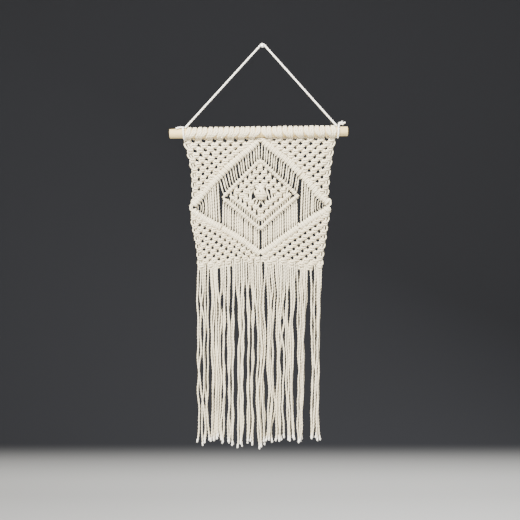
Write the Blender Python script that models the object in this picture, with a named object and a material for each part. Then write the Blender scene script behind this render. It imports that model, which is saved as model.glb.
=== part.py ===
"""Macrame wall hanging: a knotted cord panel with a fringe on a wooden dowel, held by a cord over a wall pin.

The wall is the plane y = 0 and the front looks towards -Y. The origin is the middle of the pin's back face.
Tables give their places in millimetres, as (x, z) seen from the front.
"""

import math

import bmesh
import bpy
from mathutils import Matrix, Vector

MM = 0.001
SMOOTH_ANGLE = 40.0
CORNER_REACH = 3.0

# Cords
PANEL_CORD = 4.0 * MM
HANGING_CORD = 3.5 * MM
SEAT_GAP = 0.3 * MM
HALF_GAP = SEAT_GAP / 2.0

# Wooden dowel: its two end centres, (x, z) in millimetres
ROD_DIAMETER = 16.0 * MM
ROD_LEFT_END = (-159.0, -150.9)
ROD_RIGHT_END = (145.9, -146.6)
ROD_AXIS_Y = -12.6 * MM
ROD_SIDES = 32
ROD_EDGE_ROUND = 0.8 * MM

# Wall pin
PIN_SHANK_DIAMETER = 3.2 * MM
PIN_SHANK_LENGTH = 9.6 * MM
PIN_HEAD_DIAMETER = 6.0 * MM
PIN_HEAD_THICKNESS = 1.6 * MM
PIN_FACE_SHARE = 0.7
PIN_SIDES = 20

# Heading: a row of lark's head knots round the dowel
HEADING_LEFT = -128.5 * MM
HEADING_RIGHT = 123.4 * MM
HEADING_KNOTS = 28
HEADING_CREST = PANEL_CORD
HEADING_VALLEY = 1.6 * MM
HEADING_SIDES = 14

# Knotted panel: its middle plane, and how thick each kind of knotting is
PANEL_Y = -8.0 * MM
NET_THICKNESS = 9.0 * MM
NET_CHAMFER = 1.6 * MM
HITCH_THICKNESS = 10.6 * MM
HITCH_GROOVE = 6.0 * MM
HITCH_RIM = 6.4 * MM
HITCH_SHOULDERS = (0.27, 0.73)
CURTAIN_CORD_PITCH = 4.66 * MM
CURTAIN_VALLEY = 1.4 * MM
CURTAIN_END_GAP = 0.45 * MM
SCALLOP_LENGTH = 14.2
SCALLOP_DEPTH = 1.4

# Hitched bands: one row per station, as (inner x, inner z, outer x, outer z) in millimetres
UPPER_LEFT_BAND = (
    (-3.3, -161.2, -27.5, -161.5),
    (-19.0, -179.4, -40.0, -171.6),
    (-46.9, -202.1, -60.6, -188.9),
    (-83.6, -238.8, -97.3, -225.6),
    (-109.8, -270.0, -122.3, -257.0),
    (-119.0, -277.0, -126.2, -276.8),
)
UPPER_RIGHT_BAND = (
    (-2.7, -161.15, 21.0, -160.85),
    (7.2, -174.2, 32.5, -170.0),
    (38.7, -198.5, 52.0, -185.0),
    (70.2, -230.1, 83.5, -216.6),
    (91.1, -256.3, 105.0, -243.5),
    (104.0, -268.0, 115.5, -256.0),
    (113.0, -272.5, 120.1, -272.0),
)
LOWER_LEFT_BAND = (
    (-119.0, -277.6, -126.2, -277.8),
    (-109.8, -283.5, -123.0, -290.5),
    (-101.1, -290.5, -111.5, -306.0),
    (-61.0, -311.6, -71.0, -328.0),
    (-29.5, -330.8, -40.5, -347.0),
    (-15.0, -341.4, -22.0, -358.4),
    (-3.0, -350.0, -3.0, -368.0),
)
LOWER_RIGHT_BAND = (
    (113.0, -273.1, 120.1, -273.0),
    (103.6, -281.0, 117.3, -283.0),
    (80.7, -292.2, 90.5, -309.0),
    (44.0, -316.7, 54.8, -332.3),
    (18.0, -335.5, 28.5, -351.5),
    (8.0, -342.8, 14.0, -360.0),
    (-2.4, -350.0, -2.4, -368.0),
)

# Small diamond: outer and inner corners of its hitched border, (x, z) in millimetres
DIAMOND_OUTER = {"top": (-4.3, -190.3), "left": (-68.3, -256.3), "bottom": (-3.8, -317.1), "right": (60.0, -252.0)}
DIAMOND_INNER = {"top": (-4.4, -203.1), "left": (-50.1, -250.3), "bottom": (-4.0, -293.3), "right": (41.2, -246.9)}
DIAMOND_SIDES = (("top", "left"), ("left", "bottom"), ("bottom", "right"), ("right", "top"))
CENTRE_KNOT = (-3.4, -253.7)
CENTRE_KNOT_WIDTH = 19.0 * MM
CENTRE_KNOT_HEIGHT = 19.0 * MM
CENTRE_KNOT_RISE = 3.6 * MM
CENTRE_KNOT_SIDES = 20
# (share of the rise, share of the width)
CENTRE_KNOT_PROFILE = ((0.0, 0.92), (0.35, 1.0), (0.75, 0.82), (1.0, 0.45))

# Side edges of the knotted nets, downwards, (x, z) in millimetres
UPPER_LEFT_EDGE = ((-134.8, -163.2), (-127.6, -179.4), (-123.0, -196.8), (-120.8, -214.3), (-120.8, -238.3))
UPPER_RIGHT_EDGE = ((126.1, -159.5), (121.8, -178.3), (118.2, -196.8), (115.3, -221.1), (114.3, -246.6))
LOWER_LEFT_EDGE = ((-119.4, -306.3), (-116.8, -323.8), (-112.5, -341.1), (-110.1, -358.7))
LOWER_RIGHT_EDGE = ((113.1, -299.3), (109.5, -316.7), (107.7, -334.2), (103.5, -351.3))
BOTTOM_LEFT = ((-111.3, -383.0), (-73.7, -382.2), (-53.1, -379.6), (-30.0, -371.9), (-12.0, -368.8))
BOTTOM_RIGHT = ((6.0, -368.8), (21.4, -371.9), (48.8, -379.6), (64.2, -382.2), (102.8, -383.0))

# Slits between the groups of free cords, x in millimetres
LEFT_SLIT = (-73.3, -68.3)
RIGHT_SLIT = (61.6, 66.6)
UPPER_SLIT = (-4.8, -2.6)
LOWER_SLIT = (-4.6, -1.9)
LEFT_CORNER = -116.0
RIGHT_CORNER = 110.5

# Fringe: its thickness, and one row per clump of strands, x then z in millimetres
FRINGE_THICKNESS = 10.0 * MM
FRINGE_CHAMFER = 1.8 * MM
FRINGE_TOP = (
    (-111.3, -383.4), (-73.7, -382.6), (-53.1, -380.0), (-30.0, -372.3), (-12.0, -369.2), (-3.0, -368.5),
    (6.0, -369.2), (21.4, -372.3), (48.8, -380.0), (64.2, -382.6), (102.8, -383.4),
)
# (left and right x at the top, low down and at the ends, then z of the left and right ends)
FRINGE_CLUMPS = (
    (-111.3, -95.0, -112.4, -94.9, -113.5, -96.0, -682.0, -685.0),
    (-89.8, -64.6, -89.6, -64.4, -91.0, -65.0, -678.0, -681.5),
    (-59.3, -48.0, -59.4, -47.8, -62.0, -49.0, -683.5, -687.0),
    (-42.8, -33.0, -42.6, -32.8, -43.5, -34.5, -691.5, -680.5),
    (-26.4, -13.9, -26.2, -13.8, -28.5, -14.6, -679.5, -685.0),
    (-8.9, 3.2, -8.8, 3.4, -9.6, 5.2, -693.5, -681.0),
    (10.0, 19.7, 10.3, 19.9, 12.0, 18.0, -681.0, -681.5),
    (24.7, 31.2, 24.9, 31.1, 27.5, 33.2, -680.0, -679.0),
    (36.2, 45.3, 36.1, 45.5, 38.2, 46.6, -678.0, -677.6),
    (50.3, 56.8, 50.5, 56.4, 51.4, 61.4, -678.3, -681.6),
    (64.0, 72.6, 63.6, 72.1, 67.6, 74.0, -680.1, -678.8),
    (83.4, 90.3, 83.6, 90.5, 84.8, 92.0, -675.1, -677.8),
    (95.3, 103.4, 95.5, 103.6, 96.4, 102.4, -680.1, -675.0),
)
FRINGE_LOW_Z = -612.0
FRINGE_BAR_DEPTH = 6.5
FRINGE_END_DROP = 1.5

# Hanging cord, in millimetres where it is a table
WRAP_CLEARANCE = 0.35 * MM
WRAP_STEPS = 14
LEFT_WRAP_X = (-131.6 * MM, -135.9 * MM)
RIGHT_WRAP_X = (126.4 * MM, 130.6 * MM)
STRAND_STEPS = 16
BEND_STEPS = 5
# (x, distance from the dowel's axis, degrees from its top towards its back, share of the cord's thickness)
LEFT_TAIL = ((-139.5, 10.4, -4.0, 1.0), (-143.8, 10.4, -13.0, 1.0), (-147.2, 10.5, -22.0, 1.0))
RIGHT_TAIL = (
    (131.4, 14.0, 0.0, 1.0),
    (133.2, 15.0, 0.0, 1.2),
    (135.8, 14.4, -2.0, 1.6),
    (138.2, 14.2, -4.0, 1.4),
    (141.4, 14.8, -6.0, 1.0),
)

COLOURS = {
    "dowel": (0.74, 0.56, 0.37, 1.0),
    "pin": (0.62, 0.61, 0.58, 1.0),
    "hanging_cord": (0.90, 0.88, 0.83, 1.0),
    "panel_cord": (0.80, 0.75, 0.65, 1.0),
}
ROUGHNESS = {"dowel": 0.55, "pin": 0.35, "hanging_cord": 0.85, "panel_cord": 0.9}


def clear_scene():
    """Remove every object, so that the part stands alone."""
    for item in list(bpy.data.objects):
        bpy.data.objects.remove(item, do_unlink=True)


def make_material(name, metallic=0.0):
    """Return a plain material in the named colour."""
    material = bpy.data.materials.new(name)
    material.use_nodes = True
    shader = material.node_tree.nodes["Principled BSDF"]
    shader.inputs["Base Color"].default_value = COLOURS[name]
    shader.inputs["Roughness"].default_value = ROUGHNESS[name]
    shader.inputs["Metallic"].default_value = metallic
    return material


def add_object(name, data, material, parent):
    """Put the data in the scene under the parent, with the material."""
    data.materials.append(material)
    item = bpy.data.objects.new(name, data)
    bpy.context.collection.objects.link(item)
    item.parent = parent
    return item


def mesh_from_rings(name, rings, closed=False):
    """Return a mesh that joins equal rings of points, end to end or with a cap on each end."""
    shape = bmesh.new()
    loops = [[shape.verts.new(point) for point in ring] for ring in rings]
    pairs = list(zip(loops, loops[1:]))
    if closed:
        pairs.append((loops[-1], loops[0]))
    for first, second in pairs:
        for index in range(len(first)):
            after = (index + 1) % len(first)
            shape.faces.new((first[index], first[after], second[after], second[index]))
    if not closed:
        shape.faces.new(loops[0])
        shape.faces.new(loops[-1])
    bmesh.ops.recalc_face_normals(shape, faces=shape.faces)
    mesh = bpy.data.meshes.new(name)
    shape.to_mesh(mesh)
    shape.free()
    return mesh


def smooth(mesh):
    """Shade the mesh smooth, apart from its sharp edges."""
    mesh.shade_smooth()
    mesh.set_sharp_from_angle(angle=math.radians(SMOOTH_ANGLE))


def signed_area(outline):
    """Return the outline's area, positive where it runs anticlockwise."""
    following = outline[1:] + outline[:1]
    return sum(a[0] * b[1] - b[0] * a[1] for a, b in zip(outline, following)) / 2.0


def inset(outline, distance):
    """Return the outline moved inwards by the distance, with sharp corners held to a few distances."""
    side = 1.0 if signed_area(outline) > 0.0 else -1.0
    moved = []
    for index, (x, z) in enumerate(outline):
        before = Vector((x, z)) - Vector(outline[index - 1])
        after = Vector(outline[(index + 1) % len(outline)]) - Vector((x, z))
        before.normalize()
        after.normalize()
        normal = Vector((-before.y - after.y, before.x + after.x)) * side
        normal.normalize()
        across = abs(normal.dot(Vector((-before.y, before.x))))
        reach = distance / max(across, 1.0 / CORNER_REACH)
        moved.append((x + normal.x * reach, z + normal.y * reach))
    return moved


def slab(name, outline, thickness, chamfer):
    """Return a flat piece with chamfered edges that lies round the panel's middle plane."""
    body = inset(outline, HALF_GAP / MM)
    face = inset(body, chamfer / MM)
    half = thickness / 2.0
    levels = ((face, -half), (body, chamfer - half), (body, half - chamfer), (face, half))
    rings = [[(x * MM, PANEL_Y + y, z * MM) for x, z in ring] for ring, y in levels]
    return mesh_from_rings(name, rings)


def scalloped(points):
    """Return the line through the points with shallow outward scallops, as tight edge cords make them."""
    side = 1.0 if points[0][0] > 0.0 else -1.0
    result = []
    for (x1, z1), (x2, z2) in zip(points, points[1:]):
        length = math.hypot(x2 - x1, z2 - z1)
        count = max(1, round(length / SCALLOP_LENGTH))
        for step in range(count):
            result.append((x1 + (x2 - x1) * step / count, z1 + (z2 - z1) * step / count))
            middle = (step + 0.5) / count
            result.append((x1 + (x2 - x1) * middle + side * SCALLOP_DEPTH, z1 + (z2 - z1) * middle))
    result.append(points[-1])
    return result


def inner_line(band):
    """Return the inner edge of a hitched band."""
    return [(row[0], row[1]) for row in band]


def outer_line(band):
    """Return the outer edge of a hitched band."""
    return [(row[2], row[3]) for row in band]


def height_at(line, x):
    """Return z on the line at x, in the line's own units."""
    ordered = sorted(line)
    for (x1, z1), (x2, z2) in zip(ordered, ordered[1:]):
        if x1 <= x <= x2:
            return z1 + (z2 - z1) * (x - x1) / (x2 - x1)
    return ordered[0][1] if x < ordered[0][0] else ordered[-1][1]


def rod_frame():
    """Return the dowel's middle, its unit direction and its length."""
    left = Vector((ROD_LEFT_END[0] * MM, ROD_AXIS_Y, ROD_LEFT_END[1] * MM))
    right = Vector((ROD_RIGHT_END[0] * MM, ROD_AXIS_Y, ROD_RIGHT_END[1] * MM))
    return (left + right) / 2.0, (right - left).normalized(), (right - left).length


def round_rod(name, profile, sides, parent, material, closed=False):
    """Make a turned piece on the dowel's axis from a profile of (distance along it, radius)."""
    middle, along, _ = rod_frame()
    turn = Vector((1.0, 0.0, 0.0)).rotation_difference(along).to_matrix().to_4x4()
    angles = [2.0 * math.pi * side / sides for side in range(sides)]
    loops = []
    for distance, radius in profile:
        loops.append([(distance, radius * math.cos(a), radius * math.sin(a)) for a in angles])
    mesh = mesh_from_rings(name, loops, closed)
    smooth(mesh)
    item = add_object(name, mesh, material, parent)
    item.matrix_world = Matrix.Translation(middle) @ turn
    return item


def make_dowel(parent, material):
    """Make the wooden dowel with slightly rounded ends."""
    half = rod_frame()[2] / 2.0
    radius = ROD_DIAMETER / 2.0
    profile = (
        (-half, radius - ROD_EDGE_ROUND),
        (ROD_EDGE_ROUND - half, radius),
        (half - ROD_EDGE_ROUND, radius),
        (half, radius - ROD_EDGE_ROUND),
    )
    return round_rod("dowel", profile, ROD_SIDES, parent, material)


def make_heading(parent, material):
    """Make the row of mounting knots as one ribbed sleeve round the dowel."""
    middle, along, _ = rod_frame()
    start = (HEADING_LEFT - middle.x) / along.x
    end = (HEADING_RIGHT - middle.x) / along.x
    pitch = (end - start) / HEADING_KNOTS
    bore = ROD_DIAMETER / 2.0 + SEAT_GAP
    profile = [(start, bore)]
    for knot in range(HEADING_KNOTS):
        profile.append((start + pitch * knot, bore + HEADING_VALLEY))
        profile.append((start + pitch * (knot + 0.5), bore + HEADING_CREST))
    profile.append((end, bore + HEADING_VALLEY))
    profile.append((end, bore))
    return round_rod("heading", profile, HEADING_SIDES, parent, material, closed=True)


def make_pin(parent, material):
    """Make the wall pin, with its back face on the wall."""
    shank = PIN_SHANK_DIAMETER / 2.0
    head = PIN_HEAD_DIAMETER / 2.0
    front = PIN_SHANK_LENGTH + PIN_HEAD_THICKNESS
    profile = (
        (0.0, shank),
        (PIN_SHANK_LENGTH, shank),
        (PIN_SHANK_LENGTH, head),
        (PIN_SHANK_LENGTH + PIN_HEAD_THICKNESS / 2.0, head),
        (front, head * PIN_FACE_SHARE),
    )
    loops = []
    for distance, radius in profile:
        angles = [2.0 * math.pi * side / PIN_SIDES for side in range(PIN_SIDES)]
        loops.append([(radius * math.cos(a), -distance, radius * math.sin(a)) for a in angles])
    mesh = mesh_from_rings("wall_pin", loops)
    smooth(mesh)
    return add_object("wall_pin", mesh, material, parent)


def hitched_band(name, band, parent, material, ridges=2):
    """Make a band of hitched rows: a strip with one rounded ridge for each row."""
    rim = HITCH_RIM / 2.0
    groove = HITCH_GROOVE / 2.0
    crest = HITCH_THICKNESS / 2.0
    across = []
    for ridge in range(ridges):
        across.append((ridge / ridges, rim if ridge == 0 else groove))
        for shoulder in HITCH_SHOULDERS:
            across.append(((ridge + shoulder) / ridges, crest))
    across.append((1.0, rim))
    rings = []
    for inner_x, inner_z, outer_x, outer_z in band:
        inner = Vector((inner_x * MM, 0.0, inner_z * MM))
        outer = Vector((outer_x * MM, 0.0, outer_z * MM))
        edge = (outer - inner).normalized() * HALF_GAP
        start = inner + edge
        end = outer - edge
        front = [start.lerp(end, share) + Vector((0.0, PANEL_Y - depth, 0.0)) for share, depth in across]
        back = [start.lerp(end, share) + Vector((0.0, PANEL_Y + depth, 0.0)) for share, depth in reversed(across)]
        rings.append(front + back)
    mesh = mesh_from_rings(name, rings)
    smooth(mesh)
    return add_object(name, mesh, material, parent)


def cord_curtain(name, top, bottom, left, right, parent, material):
    """Make a group of free cords that hang side by side, as a ribbed sheet between two lines."""
    width = (right - left) * MM
    cords = max(1, round(width / CURTAIN_CORD_PITCH))
    end_gap = CURTAIN_END_GAP / MM
    rings = []
    for step in range(2 * cords + 1):
        x = left + (right - left) * step / (2.0 * cords)
        depth = PANEL_CORD / 2.0 if step % 2 else CURTAIN_VALLEY / 2.0
        upper = (height_at(top, x) - end_gap) * MM
        lower = (height_at(bottom, x) + end_gap) * MM
        ring = (
            (x * MM, PANEL_Y - depth, upper),
            (x * MM, PANEL_Y - depth, lower),
            (x * MM, PANEL_Y + depth, lower),
            (x * MM, PANEL_Y + depth, upper),
        )
        rings.append(ring)
    mesh = mesh_from_rings(name, rings)
    return add_object(name, mesh, material, parent)


def make_bands(parent, material):
    """Make the four hitched bands and the small diamond's border."""
    hitched_band("hitches_upper_left", UPPER_LEFT_BAND, parent, material)
    hitched_band("hitches_upper_right", UPPER_RIGHT_BAND, parent, material)
    hitched_band("hitches_lower_left", LOWER_LEFT_BAND, parent, material)
    hitched_band("hitches_lower_right", LOWER_RIGHT_BAND, parent, material)
    for start, end in DIAMOND_SIDES:
        rows = []
        for corner, other in ((start, end), (end, start)):
            toward = Vector(DIAMOND_OUTER[other]) - Vector(DIAMOND_OUTER[corner])
            slide = toward.normalized() * HALF_GAP / MM
            inner = Vector(DIAMOND_INNER[corner]) + slide
            outer = Vector(DIAMOND_OUTER[corner]) + slide
            rows.append((inner.x, inner.y, outer.x, outer.y))
        ridges = 1 if "top" in (start, end) else 2
        hitched_band(f"diamond_hitches_{start}_{end}", rows, parent, material, ridges)


def make_nets(parent, material):
    """Make the fields of alternating square knots."""
    upper_left = outer_line(UPPER_LEFT_BAND)[:-1] + scalloped(UPPER_LEFT_EDGE)[::-1]
    upper_right = outer_line(UPPER_RIGHT_BAND)[:-1] + scalloped(UPPER_RIGHT_EDGE)[::-1]
    lower_left = outer_line(LOWER_LEFT_BAND)[1:-1] + list(reversed(BOTTOM_LEFT)) + scalloped(LOWER_LEFT_EDGE)[::-1]
    lower_right = outer_line(LOWER_RIGHT_BAND)[1:-1] + list(BOTTOM_RIGHT) + scalloped(LOWER_RIGHT_EDGE)[::-1]
    diamond = [DIAMOND_INNER[corner] for corner in ("top", "left", "bottom", "right")]
    outlines = {
        "net_upper_left": upper_left,
        "net_upper_right": upper_right,
        "net_lower_left": lower_left,
        "net_lower_right": lower_right,
        "diamond_net": diamond,
    }
    for name, outline in outlines.items():
        mesh = slab(name, outline, NET_THICKNESS, NET_CHAMFER)
        add_object(name, mesh, material, parent)


def make_centre_knot(parent, material):
    """Make the large knot in the middle of the small diamond, as a low rounded boss on its net."""
    half_width = CENTRE_KNOT_WIDTH / 2.0
    half_height = CENTRE_KNOT_HEIGHT / 2.0
    base = PANEL_Y - NET_THICKNESS / 2.0 - SEAT_GAP
    rings = []
    for rise, share in CENTRE_KNOT_PROFILE:
        ring = []
        for side in range(CENTRE_KNOT_SIDES):
            angle = 2.0 * math.pi * side / CENTRE_KNOT_SIDES
            x = CENTRE_KNOT[0] * MM + half_width * share * math.cos(angle)
            z = CENTRE_KNOT[1] * MM + half_height * share * math.sin(angle)
            ring.append((x, base - CENTRE_KNOT_RISE * rise, z))
        rings.append(ring)
    mesh = mesh_from_rings("centre_knot", rings)
    smooth(mesh)
    return add_object("centre_knot", mesh, material, parent)


def make_curtains(parent, material):
    """Make the groups of free cords between the bands and the small diamond."""
    upper_left = inner_line(UPPER_LEFT_BAND)
    upper_right = inner_line(UPPER_RIGHT_BAND)
    lower_left = inner_line(LOWER_LEFT_BAND)
    lower_right = inner_line(LOWER_RIGHT_BAND)
    roof = [DIAMOND_OUTER[corner] for corner in ("left", "top", "right")]
    keel = [DIAMOND_OUTER[corner] for corner in ("left", "bottom", "right")]
    groups = (
        ("free_cords_upper_left", upper_left, roof, LEFT_SLIT[1], UPPER_SLIT[0]),
        ("free_cords_upper_right", upper_right, roof, UPPER_SLIT[1], RIGHT_SLIT[0]),
        ("free_cords_side_left", upper_left, lower_left, LEFT_CORNER, LEFT_SLIT[0]),
        ("free_cords_side_right", upper_right, lower_right, RIGHT_SLIT[1], RIGHT_CORNER),
        ("free_cords_lower_left", keel, lower_left, LEFT_SLIT[1], LOWER_SLIT[0]),
        ("free_cords_lower_right", keel, lower_right, LOWER_SLIT[1], RIGHT_SLIT[0]),
    )
    for name, top, bottom, left, right in groups:
        cord_curtain(name, top, bottom, left, right, parent, material)


def make_fringe(parent, material):
    """Make the fringe as one comb: a bar along the panel's lower edge with a tooth for each clump."""
    outline = list(FRINGE_TOP)
    for row in reversed(FRINGE_CLUMPS):
        left_top, right_top, left_low, right_low, left_end, right_end, left_z, right_z = row
        root_right = height_at(FRINGE_TOP, right_top) - FRINGE_BAR_DEPTH
        root_left = height_at(FRINGE_TOP, left_top) - FRINGE_BAR_DEPTH
        outline.append((right_top, root_right))
        outline.append((right_low, FRINGE_LOW_Z))
        outline.append((right_end, right_z))
        outline.append(((left_end + right_end) / 2.0, (left_z + right_z) / 2.0 - FRINGE_END_DROP))
        outline.append((left_end, left_z))
        outline.append((left_low, FRINGE_LOW_Z))
        outline.append((left_top, root_left))
    mesh = slab("fringe", outline, FRINGE_THICKNESS, FRINGE_CHAMFER)
    return add_object("fringe", mesh, material, parent)


def rod_point(x, angle, radius):
    """Return the point at x, at an angle from the dowel's top towards its back, at a radius from its axis."""
    middle, along, _ = rod_frame()
    axis_point = middle + along * ((x - middle.x) / along.x)
    up = Vector((-along.z, 0.0, along.x))
    return axis_point + up * (radius * math.cos(angle)) + Vector((0.0, radius * math.sin(angle), 0.0))


def wrap_route(start_x, end_x):
    """Return one turn round the dowel, from its top over the back and round to the top again."""
    clear = math.cos(math.pi / WRAP_STEPS)
    radius = (ROD_DIAMETER / 2.0 + WRAP_CLEARANCE + HANGING_CORD / 2.0) / clear
    points = []
    for step in range(WRAP_STEPS + 1):
        share = step / WRAP_STEPS
        points.append(rod_point(start_x + (end_x - start_x) * share, 2.0 * math.pi * share, radius))
    return points


def bend_over_pin(left, right):
    """Return the short arc over the pin's shank between the two straight strands."""
    radius = PIN_SHANK_DIAMETER / 2.0 + SEAT_GAP + HANGING_CORD / 2.0 + HALF_GAP
    y = -PIN_SHANK_LENGTH / 2.0
    start = math.atan2(-left.x, -left.z)
    end = math.atan2(right.x, -right.z)
    first = start - math.pi / 2.0
    last = math.pi / 2.0 - end
    points = []
    for step in range(BEND_STEPS):
        angle = first + (last - first) * step / (BEND_STEPS - 1)
        points.append(Vector((radius * math.sin(angle), y, radius * math.cos(angle))))
    return points


def tail_route(table):
    """Return a free end of the hanging cord, with its share of the thickness at each point."""
    return [(rod_point(x * MM, math.radians(angle), reach * MM), share) for x, reach, angle, share in table]


def strand(start, end):
    """Return the points between the two ends of a taut strand."""
    return [start.lerp(end, step / STRAND_STEPS) for step in range(1, STRAND_STEPS)]


def make_hanging_cord(parent, material):
    """Make the hanging cord as one tube: tail, turn, strand, bend over the pin, strand, turn and tail."""
    left_wrap = wrap_route(*LEFT_WRAP_X)
    right_wrap = wrap_route(*RIGHT_WRAP_X)
    bend = bend_over_pin(left_wrap[0], right_wrap[0])
    held = left_wrap[::-1] + strand(left_wrap[0], bend[0]) + bend + strand(bend[-1], right_wrap[0]) + right_wrap
    route = tail_route(LEFT_TAIL)[::-1] + [(point, 1.0) for point in held] + tail_route(RIGHT_TAIL)
    curve = bpy.data.curves.new("hanging_cord", "CURVE")
    curve.dimensions = "3D"
    curve.bevel_depth = HANGING_CORD / 2.0
    curve.bevel_resolution = 2
    curve.use_fill_caps = True
    spline = curve.splines.new("POLY")
    spline.points.add(len(route) - 1)
    for knot, (point, share) in zip(spline.points, route):
        knot.co = (*point, 1.0)
        knot.radius = share
    return add_object("hanging_cord", curve, material, parent)


def main():
    """Build the wall hanging."""
    clear_scene()
    root = bpy.data.objects.new("wall_hanging", None)
    bpy.context.collection.objects.link(root)
    wood = make_material("dowel")
    pin = make_material("pin", metallic=1.0)
    white_cord = make_material("hanging_cord")
    panel_cord = make_material("panel_cord")
    make_dowel(root, wood)
    make_pin(root, pin)
    make_hanging_cord(root, white_cord)
    make_heading(root, panel_cord)
    make_nets(root, panel_cord)
    make_bands(root, panel_cord)
    make_centre_knot(root, panel_cord)
    make_curtains(root, panel_cord)
    make_fringe(root, panel_cord)


main()
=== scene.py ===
import math
import random

import bpy
import numpy as np
from bpy.props import FloatProperty, FloatVectorProperty, IntProperty, PointerProperty
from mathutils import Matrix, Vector


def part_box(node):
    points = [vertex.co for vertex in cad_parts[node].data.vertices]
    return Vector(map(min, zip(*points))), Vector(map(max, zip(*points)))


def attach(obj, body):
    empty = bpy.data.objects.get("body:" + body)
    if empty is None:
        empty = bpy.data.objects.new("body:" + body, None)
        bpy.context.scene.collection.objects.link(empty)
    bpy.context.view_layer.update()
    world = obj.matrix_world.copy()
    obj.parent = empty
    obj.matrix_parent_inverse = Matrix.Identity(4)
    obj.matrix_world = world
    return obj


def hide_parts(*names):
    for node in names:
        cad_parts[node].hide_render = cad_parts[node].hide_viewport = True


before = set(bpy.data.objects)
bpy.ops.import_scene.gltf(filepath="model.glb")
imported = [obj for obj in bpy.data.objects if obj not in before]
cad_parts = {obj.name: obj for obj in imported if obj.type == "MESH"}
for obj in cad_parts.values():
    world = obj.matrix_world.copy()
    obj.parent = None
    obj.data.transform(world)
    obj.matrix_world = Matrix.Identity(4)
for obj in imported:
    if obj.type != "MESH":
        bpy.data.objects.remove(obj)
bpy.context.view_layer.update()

bl_info = {
    "name": "Macrame Wall Hanging",
    "version": (1, 0, 0),
    "blender": (4, 5, 0),
    "location": "3D View > Sidebar > Macrame",
    "description": "Knots a cotton wall hanging on a wooden dowel, piece by piece",
    "category": "Add Mesh",
}

MM = 0.001
BODY = "root"

# The pattern is drawn on squared paper, whose columns count to the right and rows downwards
SQUARE = 1.713 * MM
PIN_COLUMN, PIN_ROW = 262.5, 45.9
PANEL_Y = -8.0 * MM
FRONT = np.array((0.0, -1.0, 0.0))
FLOOR_Z = -1.25

# Dowel and pin
DOWEL_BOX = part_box("dowel")
DOWEL_THICKNESS = DOWEL_BOX[1].y - DOWEL_BOX[0].y
DOWEL_LEFT = Vector((-159.0, -12.6, -150.9)) * MM
DOWEL_RIGHT = Vector((145.9, -12.6, -146.6)) * MM
PIN_SHANK, PIN_SHANK_LENGTH = 3.2 * MM, 9.6 * MM
PIN_HEAD, PIN_HEAD_THICKNESS = 6.0 * MM, 1.6 * MM

# Hanging cord, tables in millimetres: x, distance from the dowel's axis, degrees from its top to its back
SEAT_GAP, HALF_GAP, WRAP_CLEARANCE = 0.3 * MM, 0.15 * MM, 0.35 * MM
WRAP_STEPS, STRAND_STEPS, BEND_STEPS = 14, 16, 5
LEFT_WRAP_X, RIGHT_WRAP_X = (-131.6, -135.9), (126.4, 130.6)
LEFT_TAIL = ((-139.5, 10.4, -10.0), (-143.8, 10.4, -26.0), (-147.2, 10.4, -38.0))
RIGHT_TAIL = ((131.4, 14.0, 0.0), (133.2, 15.0, 0.0), (135.8, 14.4, -2.0), (138.2, 14.2, -4.0), (141.4, 14.8, -6.0))

# Heading: lark's head knots over the dowel, in millimetres
HEADING_LEFT, HEADING_RIGHT, HEADING_KNOTS = -129.5, 124.7, 28

# Rows of square knots: how many, then the points of the squared paper that the row runs through
UPPER_LEFT_ROWS = (
    (7, (187.8, 141.4), (251.7, 140.0)),
    (6, (193.6, 146.0), (246.5, 145.2)),
    (6, (190.2, 151.6), (209.9, 149.5), (241.0, 149.0)),
    (5, (196.0, 155.8), (235.4, 152.9)),
    (5, (192.6, 161.0), (230.1, 157.2)),
    (4, (198.4, 165.0), (225.2, 161.8)),
    (4, (194.4, 170.8), (220.6, 166.8)),
    (3, (198.8, 174.3), (216.0, 172.0)),
    (3, (194.8, 180.3), (211.3, 177.4)),
    (2, (199.0, 184.6), (207.1, 182.8)),
    (2, (195.2, 190.0), (203.0, 188.2)),
    (1, (199.0, 194.4)),
    (1, (195.4, 199.6)),
)
UPPER_RIGHT_ROWS = (
    (7, (269.0, 138.9), (331.8, 139.3)),
    (6, (274.5, 144.0), (306.4, 143.2), (326.8, 144.2)),
    (6, (280.2, 147.8), (330.3, 148.6)),
    (5, (285.6, 151.6), (325.5, 152.7)),
    (5, (291.0, 155.8), (329.0, 158.3)),
    (4, (295.5, 160.1), (324.0, 162.6)),
    (4, (300.2, 164.8), (327.5, 168.2)),
    (3, (304.9, 170.0), (322.7, 172.3)),
    (3, (309.0, 175.4), (326.3, 177.9)),
    (2, (313.2, 180.6), (321.8, 181.9)),
    (2, (317.3, 186.0), (325.8, 187.3)),
    (1, (321.5, 191.8)),
    (1, (325.3, 197.0)),
)
LOWER_LEFT_ROWS = (
    (14, (194.0, 218.2), (220.2, 233.3), (257.6, 260.3)),
    (12, (195.3, 226.5), (221.7, 241.6), (250.0, 261.3)),
    (9, (196.8, 234.2), (237.2, 259.8)),
    (7, (198.5, 242.3), (228.3, 262.0)),
    (5, (199.8, 250.4), (219.4, 263.6)),
    (3, (200.6, 258.4), (210.4, 265.0)),
    (1, (201.2, 265.8)),
)
LOWER_RIGHT_ROWS = (
    (13, (265.3, 257.7), (326.5, 214.9)),
    (12, (269.0, 262.7), (324.8, 223.5)),
    (9, (283.0, 260.6), (323.5, 232.6)),
    (7, (291.6, 262.9), (322.3, 241.3)),
    (5, (301.0, 264.8), (320.9, 249.8)),
    (3, (310.3, 265.8), (319.9, 258.3)),
    (1, (319.3, 266.2)),
)
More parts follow.
